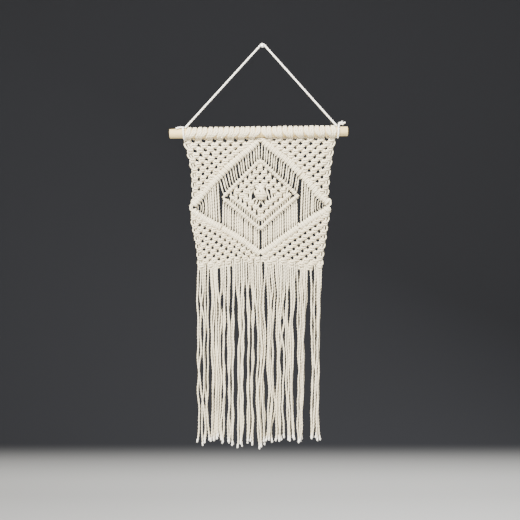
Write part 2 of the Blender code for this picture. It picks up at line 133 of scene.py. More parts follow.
DIAMOND_ROWS = (
    (1, (260.0, 169.2)),
    (2, (255.7, 174.0), (264.4, 173.8)),
    (3, (251.3, 178.6), (268.6, 178.4)),
    (4, (246.9, 183.0), (273.3, 182.8)),
    (2, (242.5, 187.5), (251.4, 187.1)),
    (2, (268.8, 186.9), (278.0, 187.0)),
    (2, (237.5, 191.9), (246.3, 191.4)),
    (2, (274.0, 191.2), (283.0, 190.8)),
    (1, (241.8, 195.9)),
    (1, (279.2, 195.2)),
    (2, (246.4, 199.9), (274.3, 199.4)),
    (2, (251.2, 203.6), (269.6, 203.0)),
    (2, (256.0, 207.2), (265.3, 206.9)),
    (1, (260.6, 210.9)),
)
CENTRE_KNOT_AT = (260.4, 193.9)

# Cords that run free around the berry knot, on the squared paper
LOOSE_MIDDLE_CORDS = (
    ((245.4, 193.2), (245.2, 195.6), (245.3, 198.4)),
    ((246.9, 192.6), (247.1, 195.6), (246.9, 198.8)),
    ((249.4, 188.4), (249.9, 192.0), (249.8, 196.0), (249.4, 199.8)),
    ((252.4, 188.6), (252.0, 191.5), (250.9, 195.0), (250.7, 199.0), (251.2, 202.0)),
    ((254.0, 189.0), (254.2, 190.8), (255.0, 193.4)),
    ((256.9, 198.4), (254.6, 199.2), (252.6, 201.0), (251.4, 203.2)),
    ((257.4, 199.0), (256.6, 201.4), (255.4, 205.0)),
    ((259.6, 199.2), (259.9, 201.8), (258.7, 204.3), (256.8, 206.2)),
    ((261.3, 199.4), (261.6, 201.8), (263.0, 204.2), (264.6, 206.0)),
    ((264.9, 198.4), (265.5, 201.6), (266.2, 205.4)),
    ((264.6, 193.6), (265.3, 196.4), (266.2, 200.0), (267.8, 203.0)),
    ((266.8, 188.8), (267.2, 191.5), (268.4, 194.8), (269.4, 198.2), (270.4, 201.4)),
    ((271.0, 189.4), (271.4, 192.4), (272.1, 196.2), (273.4, 200.4)),
    ((273.4, 190.2), (274.4, 194.2), (275.5, 198.4)),
    ((230.9, 190.0), (230.7, 192.8), (231.3, 195.6)),
    ((234.6, 190.2), (234.7, 192.6), (234.2, 195.4)),
    ((287.6, 188.4), (287.2, 191.5), (286.6, 195.4)),
)

# Loops of the edge cord at the side corners: column and row of each one's middle, and half its height
CORNER_LOOPS = {
    "upper_left": ((191.9, 201.4, 2.5), (190.3, 207.5, 3.8), (191.9, 213.7, 2.6)),
    "upper_right": ((330.6, 202.4, 3.9), (330.0, 209.6, 2.8)),
}

# Lines of half hitches on the squared paper, from the centre outwards
HITCH_LINES = {
    "upper_left": ((259.8, 137.8), (258.4, 140.6), (249.8, 148.9), (233.5, 162.1), (212.0, 183.5), (196.6, 201.4),
        (192.8, 205.4)),
    "upper_right": ((261.2, 137.6), (262.8, 140.2), (268.4, 145.8), (286.8, 160.0), (305.2, 178.4), (317.6, 193.6),
        (328.2, 202.4)),
    "lower_left": ((259.2, 253.0), (252.0, 247.8), (243.8, 241.6), (225.4, 230.4), (202.0, 218.0), (192.8, 211.0)),
    "lower_right": ((262.4, 253.0), (268.9, 248.5), (289.9, 233.3), (311.3, 219.0), (324.8, 211.6), (328.2, 208.4)),
    "diamond_top_left": ((259.6, 160.8), (226.4, 193.9), (223.2, 197.9)),
    "diamond_top_right": ((260.6, 160.6), (294.0, 192.3), (296.6, 196.0)),
    "diamond_outer_left": ((223.4, 198.6), (230.3, 204.2), (245.0, 216.5), (260.2, 229.2)),
    "diamond_inner_left": ((230.2, 195.9), (245.0, 207.2), (260.2, 220.2)),
    "diamond_outer_right": ((296.8, 196.6), (284.0, 207.8), (269.3, 220.4), (260.4, 229.2)),
    "diamond_inner_right": ((289.8, 194.6), (283.5, 199.7), (269.0, 211.6), (260.4, 220.2)),
}

# Columns of the first and last cord of each group, at the upper band, the diamond's two borders and the lower band
MIDDLE_CORDS, SIDE_CORDS = 16, 11
SIDE_BOWS = (0.0, 0.0, 0.1, 0.2, 0.5, 1.1, 1.8, 2.4, 2.7, 2.3, 1.4)
CORD_COLUMNS = {
    "left": {"upper": (258.9, 219.6), "diamond": (258.6, 223.7), "lower": (259.0, 223.4),
             "side_top": (217.2, 194.2), "side_low": (219.6, 194.0)},
    "right": {"upper": (262.1, 299.4), "diamond": (262.2, 296.6), "lower": (262.1, 296.8),
              "side_top": (302.6, 327.0), "side_low": (300.6, 327.0)},
}

# Fringe on the squared paper: its top edge, side edges and longest strands' ends, as rows or columns against the other
FRINGE_STRANDS, FRINGE_COLUMNS = 56, (198.7, 321.6)
FRINGE_TOP = ((195.4, 261.3), (227.5, 260.2), (259.0, 256.6), (291.7, 260.2), (323.8, 261.3))
FRINGE_LEFT = ((262.0, 197.6), (300.0, 196.6), (355.0, 196.4), (425.0, 197.6), (446.0, 196.8))
FRINGE_RIGHT = ((262.0, 322.7), (305.0, 321.0), (355.0, 319.5), (420.0, 319.4), (446.0, 320.8))
FRINGE_ENDS = (
    (197.8, 443.8), (201.5, 446.1), (205.7, 442.0), (211.6, 441.4), (214.8, 443.2), (219.2, 440.0),
    (222.7, 443.8), (228.0, 444.9), (232.3, 447.0), (238.0, 444.0), (240.3, 449.8), (243.1, 442.8),
    (249.4, 445.7), (253.5, 445.7), (257.5, 450.9), (261.6, 446.5), (264.9, 443.5), (281.2, 442.4),
    (291.5, 441.9), (294.3, 440.3), (297.5, 443.8), (303.6, 442.9), (313.2, 440.0), (319.5, 442.9),
    (321.1, 439.0),
)

# Gaps in the fringe: the number of strands on their left, then row, column and width at some heights
FRINGE_GAPS = (
    (2, (304, 202.0, 0.0), (318, 202.1, 1.1), (365, 202.3, 1.1), (385, 202.5, 0.0), (412, 203.0, 0.0),
        (425, 203.0, 1.0), (446, 203.2, 1.3)),
    (4, (325, 206.3, 0.0), (340, 206.3, 1.1), (372, 206.0, 1.0), (395, 206.0, 0.0)),
    (5, (272, 209.4, 0.0), (290, 209.8, 1.1), (350, 210.2, 1.5), (430, 210.0, 1.5), (446, 209.2, 2.8)),
    (10, (262, 219.2, 0.8), (270, 219.2, 1.9), (298, 219.4, 1.2), (312, 219.6, 0.0)),
    (11, (330, 221.8, 0.0), (345, 221.6, 1.4), (385, 222.0, 1.1), (402, 222.2, 0.0), (420, 220.4, 0.6),
        (446, 219.8, 1.2)),
    (13, (293, 226.3, 0.0), (312, 226.3, 1.5), (400, 226.4, 2.0), (432, 226.0, 0.9), (446, 225.5, 0.2)),
    (15, (262, 231.0, 0.7), (270, 231.1, 1.6), (308, 231.1, 1.2), (328, 231.1, 0.0)),
    (17, (274, 236.0, 0.0), (290, 236.0, 1.3), (330, 235.9, 2.2), (430, 235.4, 2.6), (446, 235.6, 2.6)),
    (21, (285, 245.6, 0.0), (300, 245.6, 1.5), (330, 245.5, 2.8), (400, 245.4, 2.9), (430, 244.6, 1.3),
        (446, 243.6, 0.7)),
    (23, (280, 250.7, 0.0), (292, 250.7, 1.0), (375, 250.2, 1.1), (392, 250.2, 0.0)),
    (25, (300, 255.2, 0.0), (322, 255.3, 1.7), (400, 255.2, 2.0), (430, 254.8, 2.4), (446, 254.6, 2.8)),
    (29, (257, 263.4, 0.9), (264, 263.5, 2.0), (285, 263.6, 1.5), (294, 263.8, 0.0)),
    (30, (278, 265.8, 0.0), (290, 265.9, 1.3), (330, 265.9, 2.2), (400, 265.6, 2.5), (430, 265.5, 1.7),
        (446, 265.4, 1.0)),
    (34, (286, 275.4, 0.0), (300, 275.4, 1.3), (340, 275.2, 2.1), (390, 275.5, 1.7), (404, 275.8, 0.2),
        (425, 274.0, 2.0), (446, 273.5, 3.0)),
    (38, (302, 282.9, 0.0), (315, 282.6, 1.4), (360, 281.6, 1.3), (376, 281.6, 0.0)),
    (39, (392, 285.6, 0.0), (405, 285.8, 1.2), (425, 286.0, 1.1), (440, 286.0, 0.0)),
    (41, (284, 289.1, 0.0), (294, 289.1, 1.1), (316, 289.1, 1.0), (328, 289.1, 0.0), (415, 291.0, 0.0),
        (428, 291.0, 1.0), (444, 291.0, 0.0)),
    (44, (271, 296.0, 0.0), (281, 296.0, 1.7), (330, 296.0, 2.8), (400, 295.5, 3.3), (430, 295.3, 1.8),
        (446, 295.0, 0.9)),
    (45, (262, 298.8, 1.1), (269, 298.7, 2.2), (278, 298.7, 1.1), (286, 298.9, 0.0)),
    (50, (262, 308.8, 0.9), (272, 308.8, 1.9), (300, 308.6, 2.4), (330, 308.3, 4.4), (360, 308.2, 5.8),
        (420, 307.0, 6.4), (446, 307.2, 7.6)),
    (52, (264, 312.8, 0.6), (274, 312.8, 1.5), (290, 313.0, 0.0)),
    (53, (316, 316.4, 0.0), (330, 316.0, 1.3), (375, 315.8, 1.2), (388, 315.8, 0.0)),
)


# ---------------------------------------------------------------- sizes and colours


def distance(name, description, default, low, high):
    """Return a size that a user may change, from its default and limits in millimetres"""
    return FloatProperty(name=name, description=description, default=default * MM, min=low * MM, max=high * MM,
                         subtype="DISTANCE", unit="LENGTH")


def colour(name, description, *default):
    return FloatVectorProperty(name=name, description=description, default=default, min=0.0, max=1.0, size=3,
                               subtype="COLOR")


class CordSizes(bpy.types.PropertyGroup):
    """Thickness and twist of the cords"""

    panel: distance("Panel cord", "Thickness of the cord that the panel is knotted from", 4.0, 1.0, 10.0)
    hanging: distance("Hanging cord", "Thickness of the cord that goes over the pin", 3.5, 1.0, 8.0)
    lay: distance("Lay", "Length of cord in which its plies make one turn", 17.0, 6.0, 60.0)
    groove: FloatProperty(name="Groove", description="Share of the thickness by which the plies are parted",
                          default=0.25, min=0.0, max=0.5, subtype="FACTOR")
    seed: IntProperty(name="Seed", description="Picks the small differences between one knot and the next",
                      default=7, min=0)


class FringeSizes(bpy.types.PropertyGroup):
    """How the fringe hangs"""

    wander: distance("Wander", "How far a strand strays to each side as it hangs", 1.25, 0.0, 5.0)
    layers: distance("Layers", "Depth between the front and the back strands of a clump", 6.6, 0.0, 12.0)
    flare: FloatProperty(name="Flare", description="How much thicker a strand is at its cut end",
                         default=1.32, min=1.0, max=2.0)


class Colours(bpy.types.PropertyGroup):
    """Colours of the finishes"""

    panel: colour("Panel cord", "Natural cream cotton", 0.765, 0.70, 0.535)
    hanging: colour("Hanging cord", "Off-white cotton", 0.90, 0.89, 0.86)
    dowel: colour("Dowel", "Plain pale wood", 0.60, 0.465, 0.215)
    pin: colour("Pin", "Dull metal", 0.62, 0.61, 0.58)
    stage: colour("Floor", "Plain pale studio floor", 0.50, 0.50, 0.49)
    # The backdrop is near black: painted shade that shows through the hanging's holes and slits
    painted_shade_backdrop: colour("Backdrop", "The grey that the floor turns into behind the hanging", 0.030, 0.031, 0.035)


class HangingSettings(bpy.types.PropertyGroup):
    """Everything that a user may change"""

    cords: PointerProperty(type=CordSizes)
    fringe: PointerProperty(type=FringeSizes)
    colours: PointerProperty(type=Colours)


def settings():
    return bpy.context.scene.wall_hanging


# ---------------------------------------------------------------- finishes


class Channel:
    """An output of a finish, which adds Math nodes when it is used in an expression"""

    def __init__(self, finish, socket):
        self.finish, self.socket = finish, socket

    def maths(self, operation, *values):
        return self.finish.node("ShaderNodeMath", {"operation": operation}, dict(enumerate(values)))

    def __add__(self, other):
        return self.maths("ADD", self, other)

    __radd__ = __add__

    def __sub__(self, other):
        return self.maths("SUBTRACT", self, other)

    def __rsub__(self, other):
        return self.maths("SUBTRACT", other, self)

    def __mul__(self, other):
        return self.maths("MULTIPLY", self, other)

    __rmul__ = __mul__

    def __pow__(self, other):
        return self.maths("POWER", self, other)

    def __abs__(self):
        return self.maths("ABSOLUTE", self)

    def wave(self):
        return self.maths("COSINE", self)


class Finish:
    """A material and the nodes that make it"""

    def __init__(self, name):
        self.material = bpy.data.materials.new(name)
        self.material.use_nodes = True
        self.nodes = self.material.node_tree.nodes
        self.links = self.material.node_tree.links
        self.nodes.clear()

    def node(self, kind, choices=None, inputs=None, output=0):
        made = self.nodes.new(kind)
        for name, value in (choices or {}).items():
            setattr(made, name, value)
        for key, value in (inputs or {}).items():
            if isinstance(value, Channel):
                self.links.new(value.socket, made.inputs[key])
            else:
                made.inputs[key].default_value = value
        return Channel(self, made.outputs[output]) if made.outputs else None

    def blend(self, share, first, second):
        return self.node("ShaderNodeMix", {"data_type": "RGBA"}, {0: share, 6: first, 7: second}, 2)

    def noise(self, where, scale, detail=3.0, roughness=0.5):
        return self.node("ShaderNodeTexNoise", {"noise_dimensions": "3D"},
                         {"Vector": where, "Scale": scale, "Detail": detail, "Roughness": roughness})

    def place(self):
        """Return the place of each point of the piece, in metres"""
        return self.node("ShaderNodeTexCoord", output=3)

    def axes(self, vector):
        outputs = self.node("ShaderNodeSeparateXYZ", None, {0: vector}).socket.node.outputs
        return [Channel(self, output) for output in outputs]

    def stretch(self, where, *scale):
        return self.node("ShaderNodeMapping", None, {"Vector": where, "Scale": scale})

    def attribute(self, name):
        return self.node("ShaderNodeAttribute", {"attribute_name": name}, output=2)

    def bump(self, strength, depth, height):
        """Return the surface's direction, with a relief whose depth is in millimetres"""
        return self.node("ShaderNodeBump", None, {"Strength": strength, "Distance": depth * MM, "Height": height})

    def close(self, **inputs):
        """Join the channels in a Principled shader and return the material"""
        names = {"colour": "Base Color", "roughness": "Roughness", "metallic": "Metallic", "normal": "Normal",
                 "sheen": "Sheen Weight", "sheen_roughness": "Sheen Roughness", "specular": "Specular IOR Level"}
        shader = self.node("ShaderNodeBsdfPrincipled", None, {names[key]: value for key, value in inputs.items()})
        self.node("ShaderNodeOutputMaterial", None, {"Surface": shader})
        return self.material


def tint(colour, red, green, blue):
    return (colour[0] * red, colour[1] * green, colour[2] * blue, 1.0)


def shade(colour, factor):
    return tint(colour, factor, factor, factor)


FRAYED_COLOUR = (0.93, 0.905, 0.85, 1.0)
CORD_PLIES = 3.0


def cotton_finish(name, colour):
    """Twisted cotton: parted plies with painted shade in their grooves, fine fibres, warm and cool cords, a dry surface
    """
    finish = Finish(name)
    where = finish.place()
    cord_map = finish.node("ShaderNodeUVMap", {"uv_map": "cord_map"})
    crest = abs((finish.axes(cord_map)[1] * (CORD_PLIES * math.pi)).wave())
    fibres = finish.noise(finish.stretch(cord_map, 5.0, 16.0, 1.0), 1.6, 4.0, 0.65)
    fuzz = finish.noise(where, 1900.0, 2.0, 0.6)
    patches = finish.noise(where, 22.0, 3.0, 0.55)
    # Painted shade: the colour darkens where the plies part, as a groove between them would be shaded
    groove = (1.0 - crest) ** 2.2
    # Tone picks a cord's colour between a darker, warmer one and a paler one; held low it is also painted shade
    cords = finish.blend(finish.attribute("tone"), tint(colour, 0.93, 0.885, 0.82), shade(colour, 1.06))
    grown = finish.blend(patches * 0.5 + 0.1, cords, tint(colour, 0.93, 0.90, 0.82))
    streaked = finish.blend(fibres * 0.32, grown, shade(colour, 1.12))
    # parted: the colour with painted shade laid into the ply grooves
    parted = finish.blend(groove * 0.68, streaked, tint(colour, 0.50, 0.43, 0.33))
    final = finish.blend(finish.attribute("frayed") * 0.8, parted, FRAYED_COLOUR)
    normal = finish.bump(0.75, 0.55, crest ** 0.7 + fibres * 0.35 + fuzz * 0.12)
    return finish.close(colour=final, roughness=0.82 + fibres * 0.12, normal=normal, sheen=0.18,
                        sheen_roughness=0.55, specular=0.28)


# Middle of the growth rings, in front of the wall and below the pin, and the width of one ring, in metres
RINGS_FORWARD, RINGS_BELOW, RING_WIDTH = 0.030, 0.176, 1.9 * MM


def wood_finish(name, colour):
    """Plain pine: growth rings that run along the dowel and show round on its ends, with fine pores"""
    finish = Finish(name)
    where = finish.place()
    drift = finish.noise(finish.stretch(where, 5.0, 30.0, 30.0), 1.0, 2.0)
    _, depth, height = finish.axes(where)
    across, up = depth + RINGS_FORWARD, height + RINGS_BELOW
    rings = (across * across + up * up) ** 0.5
    growth = (rings * (2.0 * math.pi / RING_WIDTH) + drift * 9.0).wave() * 0.5 + 0.5
    pores = finish.noise(finish.stretch(where, 60.0, 900.0, 900.0), 1.0, 3.0, 0.6)
    late = growth ** 2.5
    body = finish.blend(late * 0.8, shade(colour, 1.12), tint(colour, 0.72, 0.58, 0.42))
    toned = finish.blend(finish.noise(where, 40.0, 2.0) * 0.35, body, tint(colour, 1.05, 1.08, 1.12))
    final = finish.blend(pores ** 3.0 * 0.5, toned, shade(colour, 0.62))
    normal = finish.bump(0.35, 0.12, pores + late * 0.4)
    return finish.close(colour=final, roughness=0.56 + pores * 0.18, normal=normal, specular=0.35)


def metal_finish(name, colour):
    """Dull plated steel with fine scratches and duller patches"""
    finish = Finish(name)
    where = finish.place()
    scratches = finish.noise(finish.stretch(where, 3000.0, 300.0, 500.0), 1.0, 3.0)
    patches = finish.noise(where, 500.0, 3.0)
    final = finish.blend(patches, shade(colour, 0.92), shade(colour, 1.08))
    return finish.close(colour=final, roughness=0.3 + patches * 0.2, metallic=0.9,
                        normal=finish.bump(0.2, 0.03, scratches))


def stage_finish(name, colour):
    """Plain matt paper, pale on the floor and graded up the back to a near black that is painted shade, seen through
    the holes
    """
    finish = Finish(name)
    where = finish.place()
    floor = finish.blend(finish.noise(where, 1.3, 2.0) * 0.5, shade(colour, 0.98), shade(colour, 1.02))
    # Up the back the paper turns to the near-black backdrop, painted shade behind the hanging
    graded = finish.node("ShaderNodeMapRange", {"interpolation_type": "SMOOTHSTEP"},
                         {0: finish.axes(where)[2], 1: FLOOR_Z + 0.005, 2: FLOOR_Z + 0.12})
    final = finish.blend(graded, floor, shade(settings().colours.painted_shade_backdrop, 1.0))
    return finish.close(colour=final, roughness=0.95, specular=0.1)


def finished(name, maker, colour):
    """Return the material of that name, made once"""
    return bpy.data.materials.get(name) or maker(name, colour)


def panel_cotton():
    return finished("natural_cotton_cord", cotton_finish, settings().colours.panel)


# ---------------------------------------------------------------- cords


def smooth_path(points, steps):
    """Return a curve through the points, with a number of steps between each two"""
    points = np.asarray([tuple(p) for p in points], dtype=float)
    ends = np.vstack((2 * points[0] - points[1], points, 2 * points[-1] - points[-2]))
    share = (np.arange(steps) / steps)[:, None]
    pieces = []
    for a, b, c, d in zip(ends[:-3], ends[1:-2], ends[2:-1], ends[3:]):
        pieces.append(0.5 * (2 * b + (c - a) * share + (2 * a - 5 * b + 4 * c - d) * share**2
                             + (3 * b - a - 3 * c + d) * share**3))
    return np.vstack(pieces + [points[-1:]])


def even_path(path, step):
    """Return the path cut into even steps of about the given length"""
    path = np.asarray([tuple(p) for p in path], dtype=float)
    along = np.concatenate(([0.0], np.cumsum(np.linalg.norm(np.diff(path, axis=0), axis=1))))
    count = max(2, int(round(along[-1] / step)) + 1)
    marks = np.linspace(0.0, along[-1], count)
    return np.stack([np.interp(marks, along, path[:, axis]) for axis in range(3)], axis=1)


# The cords' map runs a hundred units to the metre along them, and once round them from 0 to 1
MAP_PER_METRE = 100


class Cordage:
    """The cords of one piece, each swept along its path, with a map that follows its plies"""

    def __init__(self):
        sizes = settings().cords
        self.lay_length, self.groove = sizes.lay, sizes.groove
        self.points, self.faces, self.map, self.tones, self.frayed = [], [], [], [], []
        self.total = 0

    def cord(self, path, radius, columns=8, plied=False, tone=0.5, start=0.0, cap=0.45, frayed=0.0):
        """Sweep one cord. A plied one has its plies in its shape, the others have them in their map"""
        path = np.asarray([tuple(p) for p in path], dtype=float)
        count = len(path)
        radius = np.broadcast_to(np.asarray(radius, dtype=float), (count,))
        along = start + np.concatenate(([0.0], np.cumsum(np.linalg.norm(np.diff(path, axis=0), axis=1))))
        ahead = np.gradient(path, axis=0)
        ahead /= np.linalg.norm(ahead, axis=1)[:, None]
        side = FRONT if abs(ahead[0] @ FRONT) < 0.9 else np.array((1.0, 0.0, 0.0))
        sides = np.empty_like(path)
        for i in range(count):
            side = side - ahead[i] * (side @ ahead[i])
            side = side / np.linalg.norm(side)
            sides[i] = side
        others = np.cross(ahead, sides)
        column = np.arange(columns)
        turn = 2 * math.pi * along / self.lay_length if plied else np.zeros(count)
        angle = turn[:, None] + (2 * math.pi * column / columns)[None, :]
        share = column / columns
        profile = 1.0 - self.groove * (1.0 - np.abs(np.cos(3 * math.pi * share))) if plied else np.ones(columns)
        reach = radius[:, None] * profile[None, :]
        rings = (path[:, None, :] + (reach * np.cos(angle))[:, :, None] * sides[:, None, :]
                 + (reach * np.sin(angle))[:, :, None] * others[:, None, :])
        tips = np.stack((path[0] - ahead[0] * radius[0] * cap, path[-1] + ahead[-1] * radius[-1] * cap))
        first = self.total
        self.points.append(rings.reshape(-1, 3))
        self.points.append(tips)
        self.total += count * columns + 2
        self.tones.append(np.full(count * columns + 2, tone))
        frayed = np.broadcast_to(np.asarray(frayed, dtype=float), (count,))
        self.frayed.extend((np.repeat(frayed, columns), frayed[[0, -1]]))
        slip = np.zeros(count) if plied else along / self.lay_length
        run = along * MAP_PER_METRE
        for i in range(count - 1):
            for j in range(columns):
                k = (j + 1) % columns
                low, high = first + i * columns, first + (i + 1) * columns
                self.faces.append((low + j, low + k, high + k, high + j))
                self.map.extend((run[i], j / columns - slip[i], run[i], (j + 1) / columns - slip[i],
                                 run[i + 1], (j + 1) / columns - slip[i + 1], run[i + 1], j / columns - slip[i + 1]))
        for tip, i, back in ((first + count * columns, 0, True), (first + count * columns + 1, count - 1, False)):
            ring = first + i * columns
            for j in range(columns):
                k = (j + 1) % columns
                self.faces.append((tip, ring + k, ring + j) if back else (tip, ring + j, ring + k))
                low, high = j / columns - slip[i], (j + 1) / columns - slip[i]
                order = (high, low) if back else (low, high)
                self.map.extend((run[i], (low + high) / 2, run[i], order[0], run[i], order[1]))

    def make(self, name, material, *nodes, slot="panel_cord"):
        """Join the cords in one object that stands for the nodes"""
        mesh = bpy.data.meshes.new(name)
        mesh.from_pydata(np.vstack(self.points).tolist(), [], self.faces)
        layer = mesh.uv_layers.new(name="cord_map")
        layer.data.foreach_set("uv", np.asarray(self.map, dtype=np.float32))
        for label, values in (("tone", self.tones), ("frayed", self.frayed)):
            layer = mesh.attributes.new(label, "FLOAT", "POINT")
            layer.data.foreach_set("value", np.concatenate(values).astype(np.float32))
        mesh.shade_smooth()
        mesh.materials.append(material)
        piece = bpy.data.objects.new(name, mesh)
        bpy.context.scene.collection.objects.link(piece)
        return seat(piece, slot, *nodes)


def seat(piece, slot, *nodes):
    """Put a finished piece on the hanging in place of its nodes"""
    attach(piece, BODY)
    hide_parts(*nodes)
    return piece


def at(column, row, depth=0.0):
    """Return the point of the squared paper, and how far it lies behind the panel's middle"""
    return np.array(((column - PIN_COLUMN) * SQUARE, PANEL_Y + depth, (PIN_ROW - row) * SQUARE))


def chance(word):
    """Return a random stream of its own for each piece"""
    return random.Random(f"{settings().cords.seed} {word}")


def read_off(where, table):
    """Return the value of a table of marks at a place between them"""
    return float(np.interp(where, *zip(*table)))


def limit(value, low, high):
    return min(high, max(low, value))


# ---------------------------------------------------------------- knots


FRONT_CORD = ((-1.15, -0.30, 0.78), (-0.45, -0.80, 0.52), (0.45, -0.80, 0.42), (1.12, -0.40, 0.40), (1.34, 0.05, 0.0),
              (1.12, -0.40, -0.40), (0.45, -0.80, -0.42), (-0.45, -0.80, -0.52), (-1.06, -0.36, -0.58))
BACK_CORD = ((1.18, 0.30, 0.80), (0.45, 0.80, 0.52), (-0.45, 0.80, 0.42), (-1.12, 0.40, 0.36), (-1.40, -0.20, 0.24),
             (-1.40, -0.55, 0.0), (-1.40, -0.20, -0.24), (-1.12, 0.40, -0.36), (-0.45, 0.80, -0.42),
             (0.45, 0.80, -0.52), (1.06, 0.36, -0.58))


class Knot:
    """Place and size of one square knot, on the squared paper"""

    def __init__(self, column, row):
        self.spot = np.array((column, row))
        self.wide = self.tall = 1.0
        self.tilt = 0.0
        self.next = {}

    def point(self, x, y, z, cord):
        """Return a point of the knot, given in cord thicknesses from its middle"""
        x, z = x * self.wide, z * self.tall
        cos, sin = math.cos(self.tilt), math.sin(self.tilt)
        return at(*self.spot) + np.array((x * cos - z * sin, y, x * sin + z * cos)) * cord


def along_row(count, *points):
    """Return evenly spaced spots of the squared paper along a row"""
    points = np.asarray(points, dtype=float)
    if count == 1:
        return [points[0]]
    lengths = np.concatenate(([0.0], np.cumsum(np.linalg.norm(np.diff(points, axis=0), axis=1))))
    marks = np.linspace(0.0, lengths[-1], count)
    return [np.array((np.interp(m, lengths, points[:, 0]), np.interp(m, lengths, points[:, 1]))) for m in marks]


# Where a knot's neighbours lie from it, in columns and rows
NEIGHBOURS = {
    "down_left": ((-7.5, -1.4), (1.4, 8.0)),
    "down_right": ((1.4, 7.5), (1.4, 8.0)),
    "up_left": ((-7.5, -1.4), (-8.0, -1.4)),
    "up_right": ((1.4, 7.5), (-8.0, -1.4)),
    "below": ((-3.0, 3.0), (6.5, 12.5)),
    "above": ((-3.0, 3.0), (-12.5, -6.5)),
}

# How wide a snug knot is, the radius of its cords in cord thicknesses, and how narrow, wide, low and tall a knot may be
SNUG, KNOT_RADIUS, KNOT_WIDTHS, KNOT_HEIGHTS = 0.80, 0.405, (0.66, 0.90), (0.86, 1.10)


def lay_out(rows, tilt=0.0):
    """Return the knots of a net, each with its neighbours and the size that fits between them"""
    knots = [[Knot(*spot) for spot in along_row(*row)] for row in rows]
    every = [knot for row in knots for knot in row]
    for knot in every:
        for name, ((left, right), (low, high)) in NEIGHBOURS.items():
            near = [k for k in every
                    if left < k.spot[0] - knot.spot[0] < right and low < k.spot[1] - knot.spot[1] < high]
            if near:
                knot.next[name] = min(near, key=lambda k: np.linalg.norm(k.spot - knot.spot))
        knot.tilt = tilt
    cos, sin = math.cos(tilt), math.sin(tilt)
    cord = settings().cords.panel / SQUARE
    for knot in every:
        steps = [k.spot - knot.spot for name, k in knot.next.items() if "_" in name]
        if steps:
            wide = np.mean([abs(s[0] * cos - s[1] * sin) for s in steps])
            tall = np.mean([abs(s[0] * sin + s[1] * cos) for s in steps])
            knot.wide = limit(SNUG * wide / (2.25 * cord), *KNOT_WIDTHS)
            knot.tall = limit(tall / (1.88 * cord), *KNOT_HEIGHTS)
    return knots


def tie_square_knot(work, knot, luck, rise=1.35, loose_side=0):
    """Tie a square knot: two filler cords, one cord twice across the front and one twice behind"""
    cord = settings().cords.panel
    radius = cord * KNOT_RADIUS * min(1.0, knot.wide / SNUG) * luck.uniform(0.97, 1.03)
    tone = luck.random()

    def spot(x, y, z):
        shake = 0.035
        return knot.point(x + luck.uniform(-shake, shake), y, z + luck.uniform(-shake, shake), cord)

    def top(side, outer):
        """Where a cord comes into the knot from above"""
        reach = 1.15 if outer else 0.5
        if f"up_{'left' if side < 0 else 'right'}" in knot.next or "above" in knot.next:
            return [knot.point(side * reach, 0.0, 0.6 if outer else 0.85, cord)]
        if side == loose_side:
            return [knot.point(side * reach, 0.0, 0.9, cord)]
        return [knot.point(side * reach, 0.0, rise, cord), knot.point(side * reach, 0.0, 0.9, cord)]

    def bottom(side, outer):
        """Where a cord goes as it leaves the knot"""
        after = knot.next.get(f"down_{'left' if side < 0 else 'right'}")
        if after and outer:
            return [after.point(-side * 0.60, 0.0, 1.10, cord), after.point(-side * 0.5, 0.0, 0.6, cord)]
        if after:
            return [knot.point(side * 0.60, 0.0, -0.98, cord), after.point(-side * 1.08, 0.0, 0.42, cord)]
        reach = 1.15 if outer else 0.5
        if side == loose_side:
            return [knot.point(side * reach, 0.0, -0.95, cord)]
        below = knot.next.get("below")
        if below and outer:
            ends = knot.point(side * 1.85, 0.0, -1.0, cord), below.point(side * 1.85, 0.0, 1.0, cord)
            bulge = [ends[0] + (ends[1] - ends[0]) * share for share in (0.2, 0.8)]
            return [knot.point(side * 1.3, 0.0, -0.8, cord), *bulge, below.point(side * 1.25, 0.0, 0.85, cord)]
        if below:
            return [knot.point(side * 0.15, 0.0, -1.1, cord), below.point(side * 0.15, 0.0, 0.95, cord)]
        return [knot.point(side * reach, 0.0, -1.15, cord), knot.point(side * reach, 0.0, -rise - 0.5, cord)]

    across = [spot(*p) for p in FRONT_CORD]
    behind = [spot(*p) for p in BACK_CORD]
    work.cord(smooth_path(top(-1, True) + across + bottom(-1, True), 2), radius, tone=tone, start=luck.uniform(0, 0.05))
    work.cord(smooth_path(top(1, True) + behind + bottom(1, True), 2), radius, tone=tone * 0.7 + luck.random() * 0.3,
              start=luck.uniform(0, 0.05))
    for side in (-1, 1):
        path = top(side, False) + [knot.point(side * 0.5, 0.0, 0.3, cord), knot.point(side * 0.5, 0.0, -0.7, cord)]
        work.cord(smooth_path(path + bottom(side, False), 3), radius, tone=luck.random(), start=luck.uniform(0, 0.05))


def hitch_spots(line, columns):
    """Return where the hitches sit on a line of the squared paper, with the line's direction there"""
    line = sorted(line)
    xs, zs = [p[0] for p in line], [p[1] for p in line]
    spots = []
    for column in columns:
        row = np.interp(column, xs, zs)
        step = np.array((1.0, (np.interp(column + 1.5, xs, zs) - np.interp(column - 1.5, xs, zs)) / 3.0))
        if column + 1.5 > xs[-1] or column - 1.5 < xs[0]:
            a, b = (line[-2], line[-1]) if column + 1.5 > xs[-1] else (line[0], line[1])
            step = np.array((1.0, (b[1] - a[1]) / (b[0] - a[0])))
        spots.append((column, row, step / np.linalg.norm(step)))
    return spots


# One double half hitch: across the holding cord and backwards in cord thicknesses, and along it in quarter pitches
HALF_HITCH = (
    (1.55, 0.0, 0.0), (1.0, -0.45, -1.1), (0.45, -0.88, -1.0), (-0.45, -0.88, -0.7), (-1.05, -0.3, -0.5),
    (-0.8, 0.55, 0.0), (0.1, 0.85, 0.3), (0.95, 0.35, 0.5), (1.0, -0.4, 0.6), (0.45, -0.88, 0.8),
    (-0.45, -0.88, 1.1), (-1.0, -0.45, 1.0), (-1.55, 0.0, 0.2),
)
HITCH_NECKS = (0.0, 0.12, 0.3, 0.7, 0.88, 1.0)


